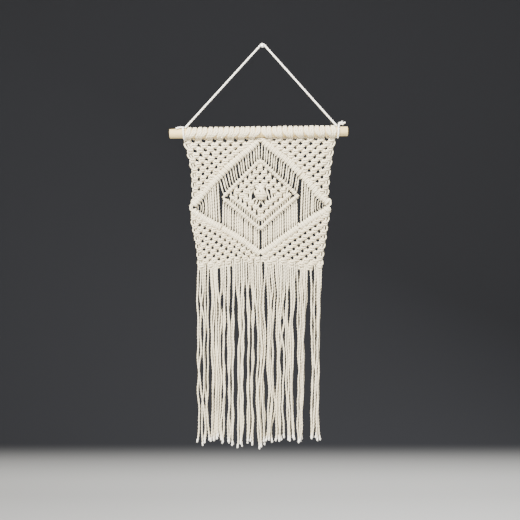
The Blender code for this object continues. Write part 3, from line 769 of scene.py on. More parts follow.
def tie_half_hitches(work, line, columns, luck, flat=1.0, ends=0.85):
    """Cover a holding cord with double half hitches, one for each column"""
    cord = settings().cords.panel
    spots = hitch_spots(line, columns)
    work.cord(smooth_path([at(*p) for p in line], 4), cord * 0.5, tone=luck.random())
    for number, (column, row, step) in enumerate(spots):
        gaps = [abs(spots[i][0] - column) for i in (number - 1, number + 1) if 0 <= i < len(spots)]
        pitch = min(gaps) / step[0] * SQUARE
        run, rise = np.array((step[0], 0.0, -step[1])), np.array((step[1], 0.0, step[0]))
        lean = luck.uniform(-0.06, 0.06)
        tone = luck.random()
        half = pitch * 0.25
        centre = at(column, row)
        path = [centre + rise * cord * (a + lean) * flat + run * half * t + np.array((0.0, b, 0.0)) * cord
                for a, b, t in HALF_HITCH]
        radius = limit(pitch * 0.285, cord * 0.36, cord * 0.47) * luck.uniform(0.96, 1.04)
        width = np.interp(np.linspace(0, 1, len(path)), HITCH_NECKS, (ends, ends, 1.0, 1.0, ends, ends))
        work.cord(smooth_path(path, 1), radius * width, columns=7, tone=tone, start=luck.uniform(0, 0.05))


def line_row(name, column):
    """Return the row at which a line of hitches crosses a column"""
    return read_off(column, sorted(HITCH_LINES[name]))


def spread(first, last, count):
    """Return the columns of evenly spread cords"""
    return [first + (last - first) * i / (count - 1) for i in range(count)]


# ---------------------------------------------------------------- operators


def clear_selection():
    if bpy.context.object and bpy.context.object.mode != "OBJECT":
        bpy.ops.object.mode_set(mode="OBJECT")
    bpy.ops.object.select_all(action="DESELECT")


def settle(piece, name, material):
    """Name a modelled piece, put its place in its mesh and give it its finish"""
    piece.name = piece.data.name = name
    bpy.ops.object.transform_apply(location=True, rotation=True, scale=True)
    piece.data.materials.clear()
    piece.data.materials.append(material)
    return piece


def pick_faces(piece, test):
    """Select the faces, in edit mode, whose middle and normal pass the test"""
    bpy.ops.object.mode_set(mode="OBJECT")
    for face in piece.data.polygons:
        face.select = test(face.center, face.normal)
    for edge in piece.data.edges:
        edge.select = False
    for vertex in piece.data.vertices:
        vertex.select = False
    for face in piece.data.polygons:
        if face.select:
            for key in face.edge_keys:
                piece.data.edges[piece.data.edge_keys.index(key)].select = True
            for vertex in face.vertices:
                piece.data.vertices[vertex].select = True
    bpy.ops.object.mode_set(mode="EDIT")
    bpy.ops.mesh.select_mode(type="FACE")


def round_edges(piece, width, segments, sharper_than, smooth_below):
    """Bevel the edges of a piece that are sharp, and shade the rest of it smooth, with both limits in degrees"""
    bevel = piece.modifiers.new("rounded_edges", "BEVEL")
    bevel.width, bevel.segments = width, segments
    bevel.limit_method, bevel.angle_limit = "ANGLE", math.radians(sharper_than)
    bpy.ops.object.modifier_apply(modifier=bevel.name)
    bpy.ops.object.shade_smooth_by_angle(angle=math.radians(smooth_below))


class HANGING_OT_dowel(bpy.types.Operator):
    """Turn the wooden dowel and round its two ends"""

    bl_idname = "hanging.dowel"
    bl_label = "Dowel"
    bl_options = {"REGISTER", "UNDO"}

    def execute(self, context):
        clear_selection()
        run = DOWEL_RIGHT - DOWEL_LEFT
        bpy.ops.mesh.primitive_cylinder_add(vertices=48, radius=DOWEL_THICKNESS / 2, depth=run.length,
                                            location=(DOWEL_LEFT + DOWEL_RIGHT) / 2,
                                            rotation=run.to_track_quat("Z", "Y").to_euler())
        dowel = context.object
        half = run.length / 2
        pick_faces(dowel, lambda centre, normal: abs(centre.z) > half * 0.99)
        bpy.ops.mesh.inset(thickness=2.2 * MM)
        pick_faces(dowel, lambda centre, normal: abs(normal.z) > 0.9 and centre.xy.length < 1 * MM)
        bpy.ops.mesh.inset(thickness=2.6 * MM)
        bpy.ops.object.mode_set(mode="OBJECT")
        settle(dowel, "wooden_dowel", finished("plain_pine", wood_finish, settings().colours.dowel))
        round_edges(dowel, 0.9 * MM, 3, sharper_than=50, smooth_below=40)
        seat(dowel, "dowel", "dowel")
        return {"FINISHED"}


# Pin head, from the shank outwards: how far each extrusion goes forward as a share of its thickness, and how wide it
# ends as a share of the one before
PIN_HEAD_PARTS = ((0.0, PIN_HEAD / PIN_SHANK), (0.55, 1.0), (0.27, 0.84), (0.18, 0.6))


class HANGING_OT_wall_pin(bpy.types.Operator):
    """Model the round-headed pin that the cord hangs on"""

    bl_idname = "hanging.wall_pin"
    bl_label = "Wall pin"
    bl_options = {"REGISTER", "UNDO"}

    def execute(self, context):
        clear_selection()
        bpy.ops.mesh.primitive_cylinder_add(vertices=32, radius=PIN_SHANK / 2, depth=PIN_SHANK_LENGTH,
                                            location=(0.0, -PIN_SHANK_LENGTH / 2, 0.0),
                                            rotation=(math.radians(90), 0, 0))
        pin = context.object
        pick_faces(pin, lambda centre, normal: normal.z > 0.9)
        for forward, size in PIN_HEAD_PARTS:
            move = (0, -PIN_HEAD_THICKNESS * forward, 0)
            bpy.ops.mesh.extrude_region_move(TRANSFORM_OT_translate={"value": move})
            if size != 1.0:
                bpy.ops.transform.resize(value=(size,) * 3)
        bpy.ops.object.mode_set(mode="OBJECT")
        settle(pin, "round_headed_pin", finished("dull_steel", metal_finish, settings().colours.pin))
        round_edges(pin, 0.15 * MM, 2, sharper_than=40, smooth_below=35)
        seat(pin, "pin", "wall_pin")
        return {"FINISHED"}


def dowel_point(x, angle, radius):
    """Return the point beside the dowel at x, at an angle from its top towards its back"""
    run = (DOWEL_RIGHT - DOWEL_LEFT).normalized()
    axis_point = DOWEL_LEFT + run * ((x - DOWEL_LEFT.x) / run.x)
    up = Vector((-run.z, 0.0, run.x))
    return axis_point + up * (radius * math.cos(angle)) + Vector((0.0, radius * math.sin(angle), 0.0))


def dowel_wrap(start_x, end_x, cord):
    """Return one turn round the dowel, from its top over the back and round to the top again"""
    radius = (DOWEL_THICKNESS / 2 + WRAP_CLEARANCE + cord / 2) / math.cos(math.pi / WRAP_STEPS)
    shares = [step / WRAP_STEPS for step in range(WRAP_STEPS + 1)]
    return [dowel_point((start_x + (end_x - start_x) * s) * MM, 2 * math.pi * s, radius) for s in shares]


def pin_bend(left, right, cord):
    """Return the bend over the pin, from the side of the left strand to the side of the right one"""
    radius = PIN_SHANK / 2 + SEAT_GAP + cord / 2 + HALF_GAP
    first = math.atan2(-left.x, -left.z) - math.pi / 2
    last = math.pi / 2 - math.atan2(right.x, -right.z)
    angles = [first + (last - first) * step / (BEND_STEPS - 1) for step in range(BEND_STEPS)]
    return [Vector((radius * math.sin(a), -PIN_SHANK_LENGTH / 2, radius * math.cos(a))) for a in angles]


def hanging_route(cord):
    """Return the points that the hanging cord follows, and those of its tail at the right"""
    left_wrap, right_wrap = dowel_wrap(*LEFT_WRAP_X, cord), dowel_wrap(*RIGHT_WRAP_X, cord)
    bend = pin_bend(left_wrap[0], right_wrap[0], cord)
    strands = [[a.lerp(b, step / STRAND_STEPS) for step in range(1, STRAND_STEPS)]
               for a, b in ((left_wrap[0], bend[0]), (bend[-1], right_wrap[0]))]
    left_tail, right_tail = ([dowel_point(x * MM, math.radians(angle), reach * MM) for x, reach, angle in table]
                             for table in (LEFT_TAIL, RIGHT_TAIL))
    return (left_tail[::-1] + left_wrap[::-1] + strands[0] + bend + strands[1] + right_wrap + right_tail), right_tail


def path_length(path):
    return float(np.linalg.norm(np.diff(np.asarray(path), axis=0), axis=1).sum())


# Knot at the hanging cord's right end: its points, how far round they go in radians, and its length and radius in
# millimetres
END_KNOT_POINTS, END_KNOT_TURN, END_KNOT_LENGTH, END_KNOT_RADIUS = 22, 9.4, 4.4, 2.5


class HANGING_OT_hanging_cord(bpy.types.Operator):
    """Lead the hanging cord over the pin and once round the dowel at each side"""

    bl_idname = "hanging.hanging_cord"
    bl_label = "Hanging cord"
    bl_options = {"REGISTER", "UNDO"}

    def execute(self, context):
        cord = settings().cords.hanging
        route, tail = hanging_route(cord)
        path = even_path(smooth_path(route, 4), 1.3 * MM)
        white = finished("white_cotton_cord", cotton_finish, settings().colours.hanging)
        work = Cordage()
        work.cord(path, cord / 2, columns=12, plied=True)
        piece = work.make("hanging_rope", white, "hanging_cord", slot="hanging_cord")
        tie = self.end_knot(tail, cord).make("rope_end_knot", white, slot="hanging_cord")
        return {"FINISHED"}

    def end_knot(self, tail, cord):
        """Wind the knot round the middle of the tail"""
        middle, run = Vector(tail[2]), (Vector(tail[3]) - Vector(tail[1])).normalized()
        back = Vector((0, 1, 0))
        up = run.cross(back).normalized()
        turns = []
        for s in np.linspace(0, 1, END_KNOT_POINTS):
            angle = END_KNOT_TURN * s + 1.0
            out = (up * math.cos(angle) + back * math.sin(angle)) * END_KNOT_RADIUS * MM
            turns.append(middle + run * ((s - 0.5) * END_KNOT_LENGTH * MM) + out)
        knot = Cordage()
        knot.cord(turns, cord * 0.36, columns=8)
        return knot


# Heading: each leg's points round the dowel and the part that leans towards its knot, in degrees from its top, and
# how far the end knots spread outwards, by their place, in millimetres
LEG_POINTS, LEG_START, LEG_TURN = 14, -150.0, 22.0
LEAN_FROM, LEAN_OVER = 92.0, 58.0
HEADING_SPREAD = (-130.0, -100.0, 95.0, 125.0), (-2.0, 0.0, 0.0, 2.8)
LEG_WIDTHS = (0.0, 0.12, 0.24, 1.0), (0.78, 0.8, 1.0, 1.0)


class HANGING_OT_heading(bpy.types.Operator):
    """Tie a row of lark's head knots over the dowel"""

    bl_idname = "hanging.heading"
    bl_label = "Heading"
    bl_options = {"REGISTER", "UNDO"}

    def execute(self, context):
        cord = settings().cords.panel
        luck, work = chance("heading"), Cordage()
        pitch = (HEADING_RIGHT - HEADING_LEFT) / HEADING_KNOTS * MM
        reach = DOWEL_THICKNESS / 2 + cord * 0.03
        knots = [knot for name in ("upper_left", "upper_right") for knot in lay_out(NETS[name][0])[0]]
        for number in range(HEADING_KNOTS):
            knot, second = knots[number // 2], number % 2
            x = HEADING_LEFT * MM + pitch * (number + 0.5) + luck.uniform(-0.35, 0.35) * MM
            tone = luck.random() * 0.5
            half = cord * luck.uniform(0.51, 0.53)
            loose = luck.uniform(0.0, 0.9) * MM
            ends = []
            for side in (-1, 1):
                place = ((-1.15, -0.5), (0.5, 1.15))[second][side > 0]
                foot = knot.point(place, -0.15, 1.0, cord)
                leg = []
                for step in range(LEG_POINTS):
                    angle = math.radians(LEG_START + step * LEG_TURN)
                    over = max(0.0, math.cos(angle))
                    lean = min(1.0, max(0.0, (math.degrees(-angle) - LEAN_FROM) / LEAN_OVER))
                    beside = x + side * half * (1.0 - 0.30 * over)
                    beside += (1.0 - over) * (np.interp(beside / MM, *HEADING_SPREAD) * MM)
                    leg.append(dowel_point(beside + (foot[0] - beside) * lean, angle, reach + loose * over))
                path = smooth_path([knot.point(place, 0.0, 0.3, cord), foot] + leg, 2)
                width = np.interp(np.linspace(0, 1, len(path)), *LEG_WIDTHS)
                work.cord(path, cord * luck.uniform(0.56, 0.585) * width, tone=tone, start=luck.uniform(0, 0.05))
                ends.append(leg[-1])
            low = Vector((0.0, 0.6 * MM, -2.2 * MM))
            sag = (ends[0] + ends[1]) / 2 + Vector((0.0, 0.8 * MM, -3.2 * MM))
            work.cord(smooth_path([ends[0], ends[0] + low, sag, ends[1] + low, ends[1]], 3), cord * 0.5, tone=tone)
        work.make("lark_head_heading", panel_cotton(), "heading")
        return {"FINISHED"}


NETS = {
    "upper_left": (UPPER_LEFT_ROWS, 0.0),
    "upper_right": (UPPER_RIGHT_ROWS, 0.0),
    "lower_left": (LOWER_LEFT_ROWS, math.radians(10.0)),
    "lower_right": (LOWER_RIGHT_ROWS, math.radians(-8.0)),
}


# A loop of the edge cord: how far in from the edge, how far down as a share of its half height, and its depth in
# millimetres. Then its two strands: how far further in, how tall and how thick each one is
EDGE_LOOP = ((4.0, -0.70, 0.9), (1.6, -0.86, -0.9), (0.3, -0.5, -1.0), (0.0, 0.0, -0.6), (0.3, 0.5, 0.0),
             (1.6, 0.86, 0.9), (4.0, 0.70, 0.9))
EDGE_STRANDS = ((0.0, 1.0, 0.42), (1.7, 0.72, 0.28))


def border_knots(name, rows):
    """Return the knots of a net that lie along its band"""
    if name.startswith("upper"):
        return [row[-1 if name == "upper_left" else 0] for row in rows]
    return rows[0]


class HANGING_OT_nets(bpy.types.Operator):
    """Tie the four fields of alternating square knots"""

    bl_idname = "hanging.nets"
    bl_label = "Square knot fields"
    bl_options = {"REGISTER", "UNDO"}

    def execute(self, context):
        for name, (table, tilt) in NETS.items():
            rows = lay_out(table, tilt)
            border = border_knots(name, rows)
            work, luck = Cordage(), chance(f"net {name}")
            for knot in [knot for row in rows for knot in row if knot not in border]:
                tie_square_knot(work, knot, luck)
            work.make(f"square_knots_{name}", panel_cotton(), f"net_{name}")
        return {"FINISHED"}


def band_columns(name):
    """Return the column of each cord that a band ties, from the middle outwards"""
    level, half = name.split("_")
    columns = CORD_COLUMNS[half]
    side = {"upper": "side_top", "lower": "side_low"}[level]
    return spread(*columns[level], MIDDLE_CORDS) + spread(*columns[side], SIDE_CORDS)


class HANGING_OT_bands(bpy.types.Operator):
    """Tie the big diamond's four sides: a row of half hitches and the row of square knots beside it"""

    bl_idname = "hanging.bands"
    bl_label = "Hitched bands"
    bl_options = {"REGISTER", "UNDO"}

    def execute(self, context):
        for name, (table, tilt) in NETS.items():
            work, luck = Cordage(), chance(f"band {name}")
            for knot in border_knots(name, lay_out(table, tilt)):
                tie_square_knot(work, knot, luck)
            tie_half_hitches(work, HITCH_LINES[name], band_columns(name), luck)
            for loop in CORNER_LOOPS.get(name, ()):
                self.edge_loop(work, luck, *loop)
            work.make(f"hitched_band_{name}", panel_cotton(), f"hitches_{name}")
        return {"FINISHED"}

    def edge_loop(self, work, luck, column, row, half):
        """Lay a loop of the edge cord along the panel's edge, out of one knot and into the next"""
        inward = 1.0 if column < PIN_COLUMN else -1.0
        for shift, reach, thick in EDGE_STRANDS:
            path = [at(column + inward * (aside + shift), row + half * share * reach, depth * MM)
                    for aside, share, depth in EDGE_LOOP]
            work.cord(smooth_path(path, 4), settings().cords.panel * thick, tone=luck.random())


# Small diamond: the nodes of its borders, the half that each lies in and its lines of hitches
DIAMOND_BORDERS = (
    ("top_left", "left", ("diamond_top_left",)),
    ("right_top", "right", ("diamond_top_right",)),
    ("left_bottom", "left", ("diamond_outer_left", "diamond_inner_left")),
    ("bottom_right", "right", ("diamond_outer_right", "diamond_inner_right")),
)
BERRY_ROWS, BERRY_COLUMNS = (185.0, 208.0), (1.0, 16.0)

# Berry knot, in degrees to the right and up from its front: the cord that winds down it, with its lift in cord
# thicknesses, the cords that wrap its sides, and the ones that lock it above, with where and how high they end
BERRY_HALF_SIZES = (2.0, 1.75, 2.25)
BERRY_WINDING = (
    (-96, 6, 0.0), (-60, 3, 0.0), (-20, 1, 0.1), (25, -1, 0.1), (62, -4, 0.0), (92, -11, 0.0), (64, -24, 0.0),
    (24, -25, 0.1), (-20, -25, 0.1), (-62, -25, 0.0), (-95, -36, 0.0), (-62, -47, 0.0), (-15, -49, 0.1), (30, -48, 0.0),
    (80, -46, 0.0),
)
BERRY_WRAPS = ((-78, (34, 12, -4, -26)), (78, (18, -8, -28, -48)), (-76, (-14, -34, -52, -66)))
BERRY_LOCKS = ((-58, -75, 3.5), (-34, -18, 4.3), (17, 12, 4.3), (60, 62, 3.5))
BERRY_TAILS = (-60, -20, 20, 60)


class HANGING_OT_small_diamond(bpy.types.Operator):
    """Tie the small diamond: its hitched borders, its net and the berry knot in its middle"""

    bl_idname = "hanging.small_diamond"
    bl_label = "Small diamond"
    bl_options = {"REGISTER", "UNDO"}

    def execute(self, context):
        for node, half, lines in DIAMOND_BORDERS:
            work, luck = Cordage(), chance(f"border {node}")
            every = spread(*CORD_COLUMNS[half]["diamond"], MIDDLE_CORDS)
            for line in lines:
                low, high = sorted((HITCH_LINES[line][0][0], HITCH_LINES[line][-1][0]))
                columns = [c for c in every if low + 0.6 < c < high + 0.4]
                tie_half_hitches(work, HITCH_LINES[line], columns, luck, flat=0.52, ends=0.55)
            if len(lines) == 2:
                self.short_cords(work, luck, lines, every)
            work.make(f"diamond_border_{node}", panel_cotton(), f"diamond_hitches_{node}")
        work, luck = Cordage(), chance("diamond net")
        for knot in [knot for row in lay_out(DIAMOND_ROWS) for knot in row]:
            aside = CENTRE_KNOT_AT[0] - knot.spot[0]
            beside_berry = (BERRY_ROWS[0] < knot.spot[1] < BERRY_ROWS[1]
                            and BERRY_COLUMNS[0] < abs(aside) < BERRY_COLUMNS[1])
            loose_side = int(math.copysign(1, aside)) if beside_berry else 0
            tie_square_knot(work, knot, luck, rise=2.1, loose_side=loose_side)
        self.loose_cords(work, luck)
        work.make("diamond_square_knots", panel_cotton(), "diamond_net")
        self.berry_knot()
        return {"FINISHED"}

    def short_cords(self, work, luck, lines, columns):
        """Lead a cord from the outer border to the inner one at each column, and on where it passes the tip"""
        cord, tip = settings().cords.panel, HITCH_LINES[lines[1]][0]
        for column in columns:
            past = abs(column - CENTRE_KNOT_AT[0]) - abs(tip[0] - CENTRE_KNOT_AT[0])
            if past < 3.6:
                rows = line_row(lines[0], column), line_row(lines[1], column) + (3.2 if past > 0 else 0.0)
                path = [at(column, row) for row in np.linspace(*rows, 4)]
                work.cord(path, cord * 0.21, columns=6, tone=luck.random())

    def loose_cords(self, work, luck):
        """Lead the net's middle cords past the berry knot"""
        radius = settings().cords.panel * 0.32
        for spots in LOOSE_MIDDLE_CORDS:
            path = [at(*spot, depth=luck.uniform(-0.8, 0.4) * MM) for spot in spots]
            work.cord(smooth_path(path, 4), radius, tone=luck.random(), start=luck.uniform(0, 0.05))

    def berry_knot(self):
        """Roll a short chain of square knots into a ball: bars below, the cords that lock it above"""
        cord = settings().cords.panel
        work, luck = Cordage(), chance("berry knot")
        middle = at(*CENTRE_KNOT_AT, depth=-2.6 * MM)
        ball = np.array(BERRY_HALF_SIZES) * cord

        def on_ball(turn, rise, lift=0.0):
            """Return a point of the ball, in degrees to the right and up from its front"""
            aside = np.array((0.45 * cord * min(1.0, max(0.0, -rise / 45.0)), 0.0, 0.0))
            turn, rise = math.radians(turn), math.radians(rise)
            out = np.array((math.sin(turn) * math.cos(rise), -math.cos(turn) * math.cos(rise), math.sin(rise)))
            return middle + aside + (ball + lift * cord) * out

        work.cord(smooth_path([on_ball(*spot) for spot in BERRY_WINDING], 4), cord * 0.56, tone=luck.random())
        for turn, rises in BERRY_WRAPS:
            path = [on_ball(turn * wide, rise, lift)
                    for rise, wide, lift in zip(rises, (1.3, 1.0, 1.0, 1.3), (0.0, 0.2, 0.2, 0.0))]
            work.cord(smooth_path(path, 4), cord * 0.5, tone=luck.random())
        for turn, lean, tall in BERRY_LOCKS:
            path = [on_ball(turn, 2, -0.25), on_ball(turn, 26), on_ball(turn * 0.92, 52), on_ball(turn * 0.8, 76),
                    middle + np.array((lean * 0.026, 0.35, tall)) * cord]
            work.cord(smooth_path(path, 3), cord * 0.5, tone=luck.random())
        for turn in BERRY_TAILS:
            path = [on_ball(turn, -50, -0.2), on_ball(turn * 0.9, -72),
                    middle + np.array((turn * 0.012 + 0.3, 0.5, -2.2)) * cord]
            work.cord(smooth_path(path, 3), cord * 0.48, tone=luck.random())
        work.make("centre_berry_knot", panel_cotton(), "centre_knot")


# Free cords: where a cord's points lie along it, how fast its hooked ends straighten, and its neck at each end
CORD_SHARES = (0.0, 0.10, 0.24, 0.40, 0.60, 0.76, 0.90, 1.0)
HOOK_FADES, CORD_NECK, NECK_ENDS, NECK_SHARES = 2.2, 4.0, 2.5, (0.62, 0.66, 1.0)

# Groups of free cords: their place, their word in the record, their start and their end, each as a group of columns,
# a line of hitches and how far below it, then how far each cord bows inwards, how far they hook inwards at their top
# and bottom, and how thick they are, how far painted shade holds their tones to the darker end, and how uneven they are
STRAIGHT = (0.0,) * MIDDLE_CORDS
CORD_GROUPS = (
    ("above", "upper", ("upper", "upper", 1.6), ("diamond", "diamond_top", -1.4), STRAIGHT, (-1.5, 1.5),
     {"thick": ((0, 0.34),)}),
    ("beside", "side", ("side_top", "upper", 1.2), ("side_low", "lower", -1.2), SIDE_BOWS, (-0.6, -0.5),
     {"thick": ((0, 0.43), (4, 0.41), (6, 0.27), (10, 0.17)), "cast": 0.5, "stray": 0.45}),
    ("below", "lower", ("diamond", "diamond_outer", 1.6), ("lower", "lower", -1.8), STRAIGHT, (0.5, -0.5),
     {"thick": ((0, 0.455),), "cast": 0.4, "stray": 0.4}),
)


def hang_cords(work, luck, tops, bottoms, bows, hooks, thick, cast=1.0, stray=0.3):
    """Hang one free cord from each top to its bottom on the squared paper, hooked where it leaves a band"""
    cord = settings().cords.panel
    for number, (top, bottom, bow) in enumerate(zip(tops, bottoms, bows)):
        length = bottom[1] - top[1]
        swing, depth = luck.uniform(-0.22, 0.22), luck.uniform(-0.7, 0.7) * MM
        shift = luck.uniform(-stray, stray)
        start, end = (hook * luck.uniform(0.75, 1.2) for hook in hooks)
        path = []
        for share in CORD_SHARES:
            bend = start * math.exp(-share * length / HOOK_FADES) + end * math.exp(-(1.0 - share) * length / HOOK_FADES)
            hung = math.sin(math.pi * share)
            column = top[0] + (bottom[0] - top[0]) * share + bend + hung * (bow + swing) + shift
            path.append(at(column, top[1] + length * share, depth * hung))
        path = even_path(smooth_path(path, 5), 1.6 * MM)
        from_end = np.minimum(np.linspace(0.0, length, len(path)), np.linspace(length, 0.0, len(path)))
        width = np.interp(from_end, (0.0, CORD_NECK, CORD_NECK + NECK_ENDS), NECK_SHARES)
        radius = cord * read_off(number, thick) * luck.uniform(0.86, 1.1)
        # A tone cap under one keeps a group's cords to the darker, warmer tones: painted shade for cords that hang back
        # in shadow
        work.cord(path, radius * width, columns=6, plied=True, tone=luck.random() * cast, start=luck.uniform(0, 0.05))


class HANGING_OT_free_cords(bpy.types.Operator):
    """Hang the six groups of cords that run free between the bands"""

    bl_idname = "hanging.free_cords"
    bl_label = "Free cords"
    bl_options = {"REGISTER", "UNDO"}

    def execute(self, context):
        for half, inward in (("left", 1), ("right", -1)):
            for place, word, top, bottom, bows, hooks, look in CORD_GROUPS:
                work, luck = Cordage(), chance(f"{word} {half}")
                ends = [[(column, line_row(f"{line}_{half}", column) + below)
                         for column in spread(*CORD_COLUMNS[half][group], len(bows))]
                        for group, line, below in (top, bottom)]
                hang_cords(work, luck, *ends, [inward * bow for bow in bows], [inward * hook for hook in hooks], **look)
                work.make(f"free_cords_{place}_diamond_{half}", panel_cotton(), f"free_cords_{word}_{half}")
        return {"FINISHED"}


# Fringe: the rows between which neighbours may change lanes, and the gaps that part one clump from the next
CROSSING_ROWS = (290.0, 322.0, 354.0, 386.0, 418.0)
WIDE_GAPS = (5, 13, 17, 21, 25, 30, 34, 44, 50)
CROSSING_CHANCE, GAP_FACTOR, GAPS_START_ROW = 0.3, 1.2, 250.0
STRAND_RADIUS, STRAND_POINTS, STRAND_STEP = 0.385, 44, 1.75 * MM
LOOSE_AFTER, SPLAYED_OVER, TIPS_ROW, UNEVEN_CUT = 34.0, 16.0, 440.0, 1.9

# A strand's thickness and frayed share, by millimetres from its cut end
TIP_LENGTHS, TIP_FLARES, TIP_NECKS = (0.0, 1.5, 4.0, 8.0, 12.0), (0.86, 1.0, 0.9), (0.95, 1.0)
FRAYED_LENGTHS, FRAYED_SHARES = (0.0, 6.0, 10.0), (1.0, 0.7, 0.0)


def lane_column(lane):
    """Return the column of a lane where the fringe leaves the knots"""
    return FRINGE_COLUMNS[0] + (FRINGE_COLUMNS[1] - FRINGE_COLUMNS[0]) * lane / (FRINGE_STRANDS - 1)


def fringe_columns(row):
    """Return where each strand of the fringe hangs at a row of the squared paper, parted by the gaps"""
    edges = [(0, read_off(row, FRINGE_LEFT), 0.0)]
    for before, *marks in FRINGE_GAPS:
        rows, columns, widths = zip((GAPS_START_ROW, lane_column(before - 0.5), 0.0), *marks)
        edges.append((before, float(np.interp(row, rows, columns)), GAP_FACTOR * float(np.interp(row, rows, widths))))
    edges.append((FRINGE_STRANDS, read_off(row, FRINGE_RIGHT), 0.0))
    half = settings().cords.panel / SQUARE / 2
    spots = []
    for (start, left, left_gap), (stop, right, right_gap) in zip(edges, edges[1:]):
        left, right = left + left_gap / 2 + half, right - right_gap / 2 - half
        if stop - start == 1 or right < left:
            left = right = (left + right) / 2
        spots.extend(np.linspace(left, right, stop - start))
    return np.array(spots)


def crossing_lanes(luck):
    """Return each strand's lane at some rows: here and there two neighbours in a clump change places"""
    lanes = [list(range(FRINGE_STRANDS))]
    for _ in CROSSING_ROWS[1:]:
        lane_of = list(lanes[-1])
        for lane in range(luck.randint(0, 1), FRINGE_STRANDS - 1, 2):
            if lane + 1 not in WIDE_GAPS and luck.random() < CROSSING_CHANCE:
                a, b = lane_of.index(lane), lane_of.index(lane + 1)
                lane_of[a], lane_of[b] = lane + 1, lane
        lanes.append(lane_of)
    return np.array(lanes)


def draw_wave(luck, reach, turns):
    """Return a wave of a strand: how far it sways, where it starts and how many times it turns"""
    return luck.uniform(*reach), luck.uniform(0, 6.28), luck.uniform(*turns)


class HANGING_OT_fringe(bpy.types.Operator):
    """Hang the fringe: cut strands in clumps, each with its frayed tip"""

    bl_idname = "hanging.fringe"
    bl_label = "Fringe"
    bl_options = {"REGISTER", "UNDO"}

    def execute(self, context):
        cord, look = settings().cords.panel, settings().fringe
        work, luck = Cordage(), chance("fringe")
        lanes = crossing_lanes(luck)
        clump_waves = {}
        for number in range(FRINGE_STRANDS):
            clump = sum(number >= gap[0] for gap in FRINGE_GAPS if gap[0] in WIDE_GAPS)
            if clump not in clump_waves:
                clump_waves[clump] = [draw_wave(luck, (0.25, 0.6), (0.8, 2.4)) for _ in range(2)]
            own = [draw_wave(luck, (0.3, 0.8), (1.5, 3.5)), draw_wave(luck, (0.25, 0.5), (4.5, 8.0))]
            top = read_off(lane_column(number), FRINGE_TOP)
            end = read_off(fringe_columns(TIPS_ROW)[number], FRINGE_ENDS) - abs(luck.gauss(0.0, UNEVEN_CUT))
            depth = look.layers / 2 * luck.uniform(-1.0, 1.0)
            splay = luck.uniform(0.3, 2.1) * (1 if number % 2 else -1)
            path = []
            for s in np.linspace(0.0, 1.0, STRAND_POINTS):
                row = top + (end - top) * s
                hung = min(1.0, (row - top) / LOOSE_AFTER)
                lane = float(np.interp(row, CROSSING_ROWS, lanes[:, number]))
                column = float(np.interp(lane, np.arange(FRINGE_STRANDS), fringe_columns(row)))
                waves = sum(a * math.sin(p + w * 2 * math.pi * s) for a, p, w in own + clump_waves[clump])
                sway = waves * look.wander / SQUARE
                column += hung * sway + splay * max(0.0, (row - end + SPLAYED_OVER) / SPLAYED_OVER) ** 1.5
                ripple = 0.6 * MM * math.sin(own[0][1] * 1.7 + own[0][2] * 5 * s)
                path.append(at(column, row, hung * (depth + ripple)))
            path = even_path(smooth_path(path, 2), STRAND_STEP)
            from_end = np.linspace(path_length(path), 0.0, len(path)) / MM
            thick = (look.flare * TIP_FLARES[0], look.flare, look.flare * TIP_FLARES[2], *TIP_NECKS)
            radius = cord * STRAND_RADIUS * luck.uniform(0.88, 1.12) * np.interp(from_end, TIP_LENGTHS, thick)
            work.cord(path, radius, columns=6, plied=True, tone=luck.random(), start=luck.uniform(0, 0.05), cap=0.3,
                      frayed=np.interp(from_end, FRAYED_LENGTHS, FRAYED_SHARES))
        work.make("fringe_strands", panel_cotton(), "fringe")
        return {"FINISHED"}


# Stage, in metres: the floor runs from the camera's side to a bend that leads up behind the hanging
FLOOR_WIDTH, FLOOR_NEAR, FLOOR_FAR = 14.0, -6.0, 2.6
BEND_RADIUS, BEND_PARTS, BACK_HEIGHT = 1.3, 10, 3.0
VIEW_MIDDLE = Vector((-4.3, 0.0, -366.8)) * MM
CAMERA_DISTANCE, SENSOR_WIDTH, LENS, VIEW_END = 2.2, 36.0, 88.5, 60.0

# Soft lights: name, place, size, power in watts and colour
LAMPS = (
    ("key", (-0.8, -2.1, 1.4), 0.55, 425.0, (1.0, 0.975, 0.925)),
    ("fill", (1.7, -2.4, 0.1), 1.4, 50.0, (0.98, 0.985, 1.0)),
    ("low_fill", (-0.4, -2.8, -1.0), 1.2, 20.0, (1.0, 0.98, 0.95)),
    ("back", (1.2, 2.2, 1.3), 1.6, 150.0, (1.0, 1.0, 1.0)),
)
ROOM_COLOUR, ROOM_STRENGTH = (0.80, 0.82, 0.85, 1.0), 0.08


def lay_floor(context):
    """Lay a plane and extrude its far edge in a curve up behind the hanging"""
    clear_selection()
    bpy.ops.mesh.primitive_plane_add(size=1.0, location=(0.0, (FLOOR_NEAR + FLOOR_FAR) / 2, FLOOR_Z))
    floor = context.object
    floor.scale = (FLOOR_WIDTH, FLOOR_FAR - FLOOR_NEAR, 1.0)
    bpy.ops.object.transform_apply(location=False, rotation=False, scale=True)
    bpy.ops.object.mode_set(mode="EDIT")
    bpy.ops.mesh.select_all(action="DESELECT")
    bpy.ops.mesh.select_mode(type="EDGE")
    bpy.ops.object.mode_set(mode="OBJECT")
    far = [vertex.index for vertex in floor.data.vertices if vertex.co.y > 0]
    for edge in floor.data.edges:
        edge.select = all(vertex in far for vertex in edge.vertices)
    bpy.ops.object.mode_set(mode="EDIT")
    angles = [math.pi / 2 * part / BEND_PARTS for part in range(BEND_PARTS + 1)]
    moves = [(0.0, BEND_RADIUS * (math.sin(b) - math.sin(a)), BEND_RADIUS * (math.cos(a) - math.cos(b)))
             for a, b in zip(angles, angles[1:])]
    for move in moves + [(0.0, 0.0, BACK_HEIGHT)]:
        bpy.ops.mesh.extrude_region_move(TRANSFORM_OT_translate={"value": move})
    bpy.ops.object.mode_set(mode="OBJECT")
    settle(floor, "studio_floor", finished("matt_paper", stage_finish, settings().colours.stage))
    bpy.ops.object.shade_smooth()


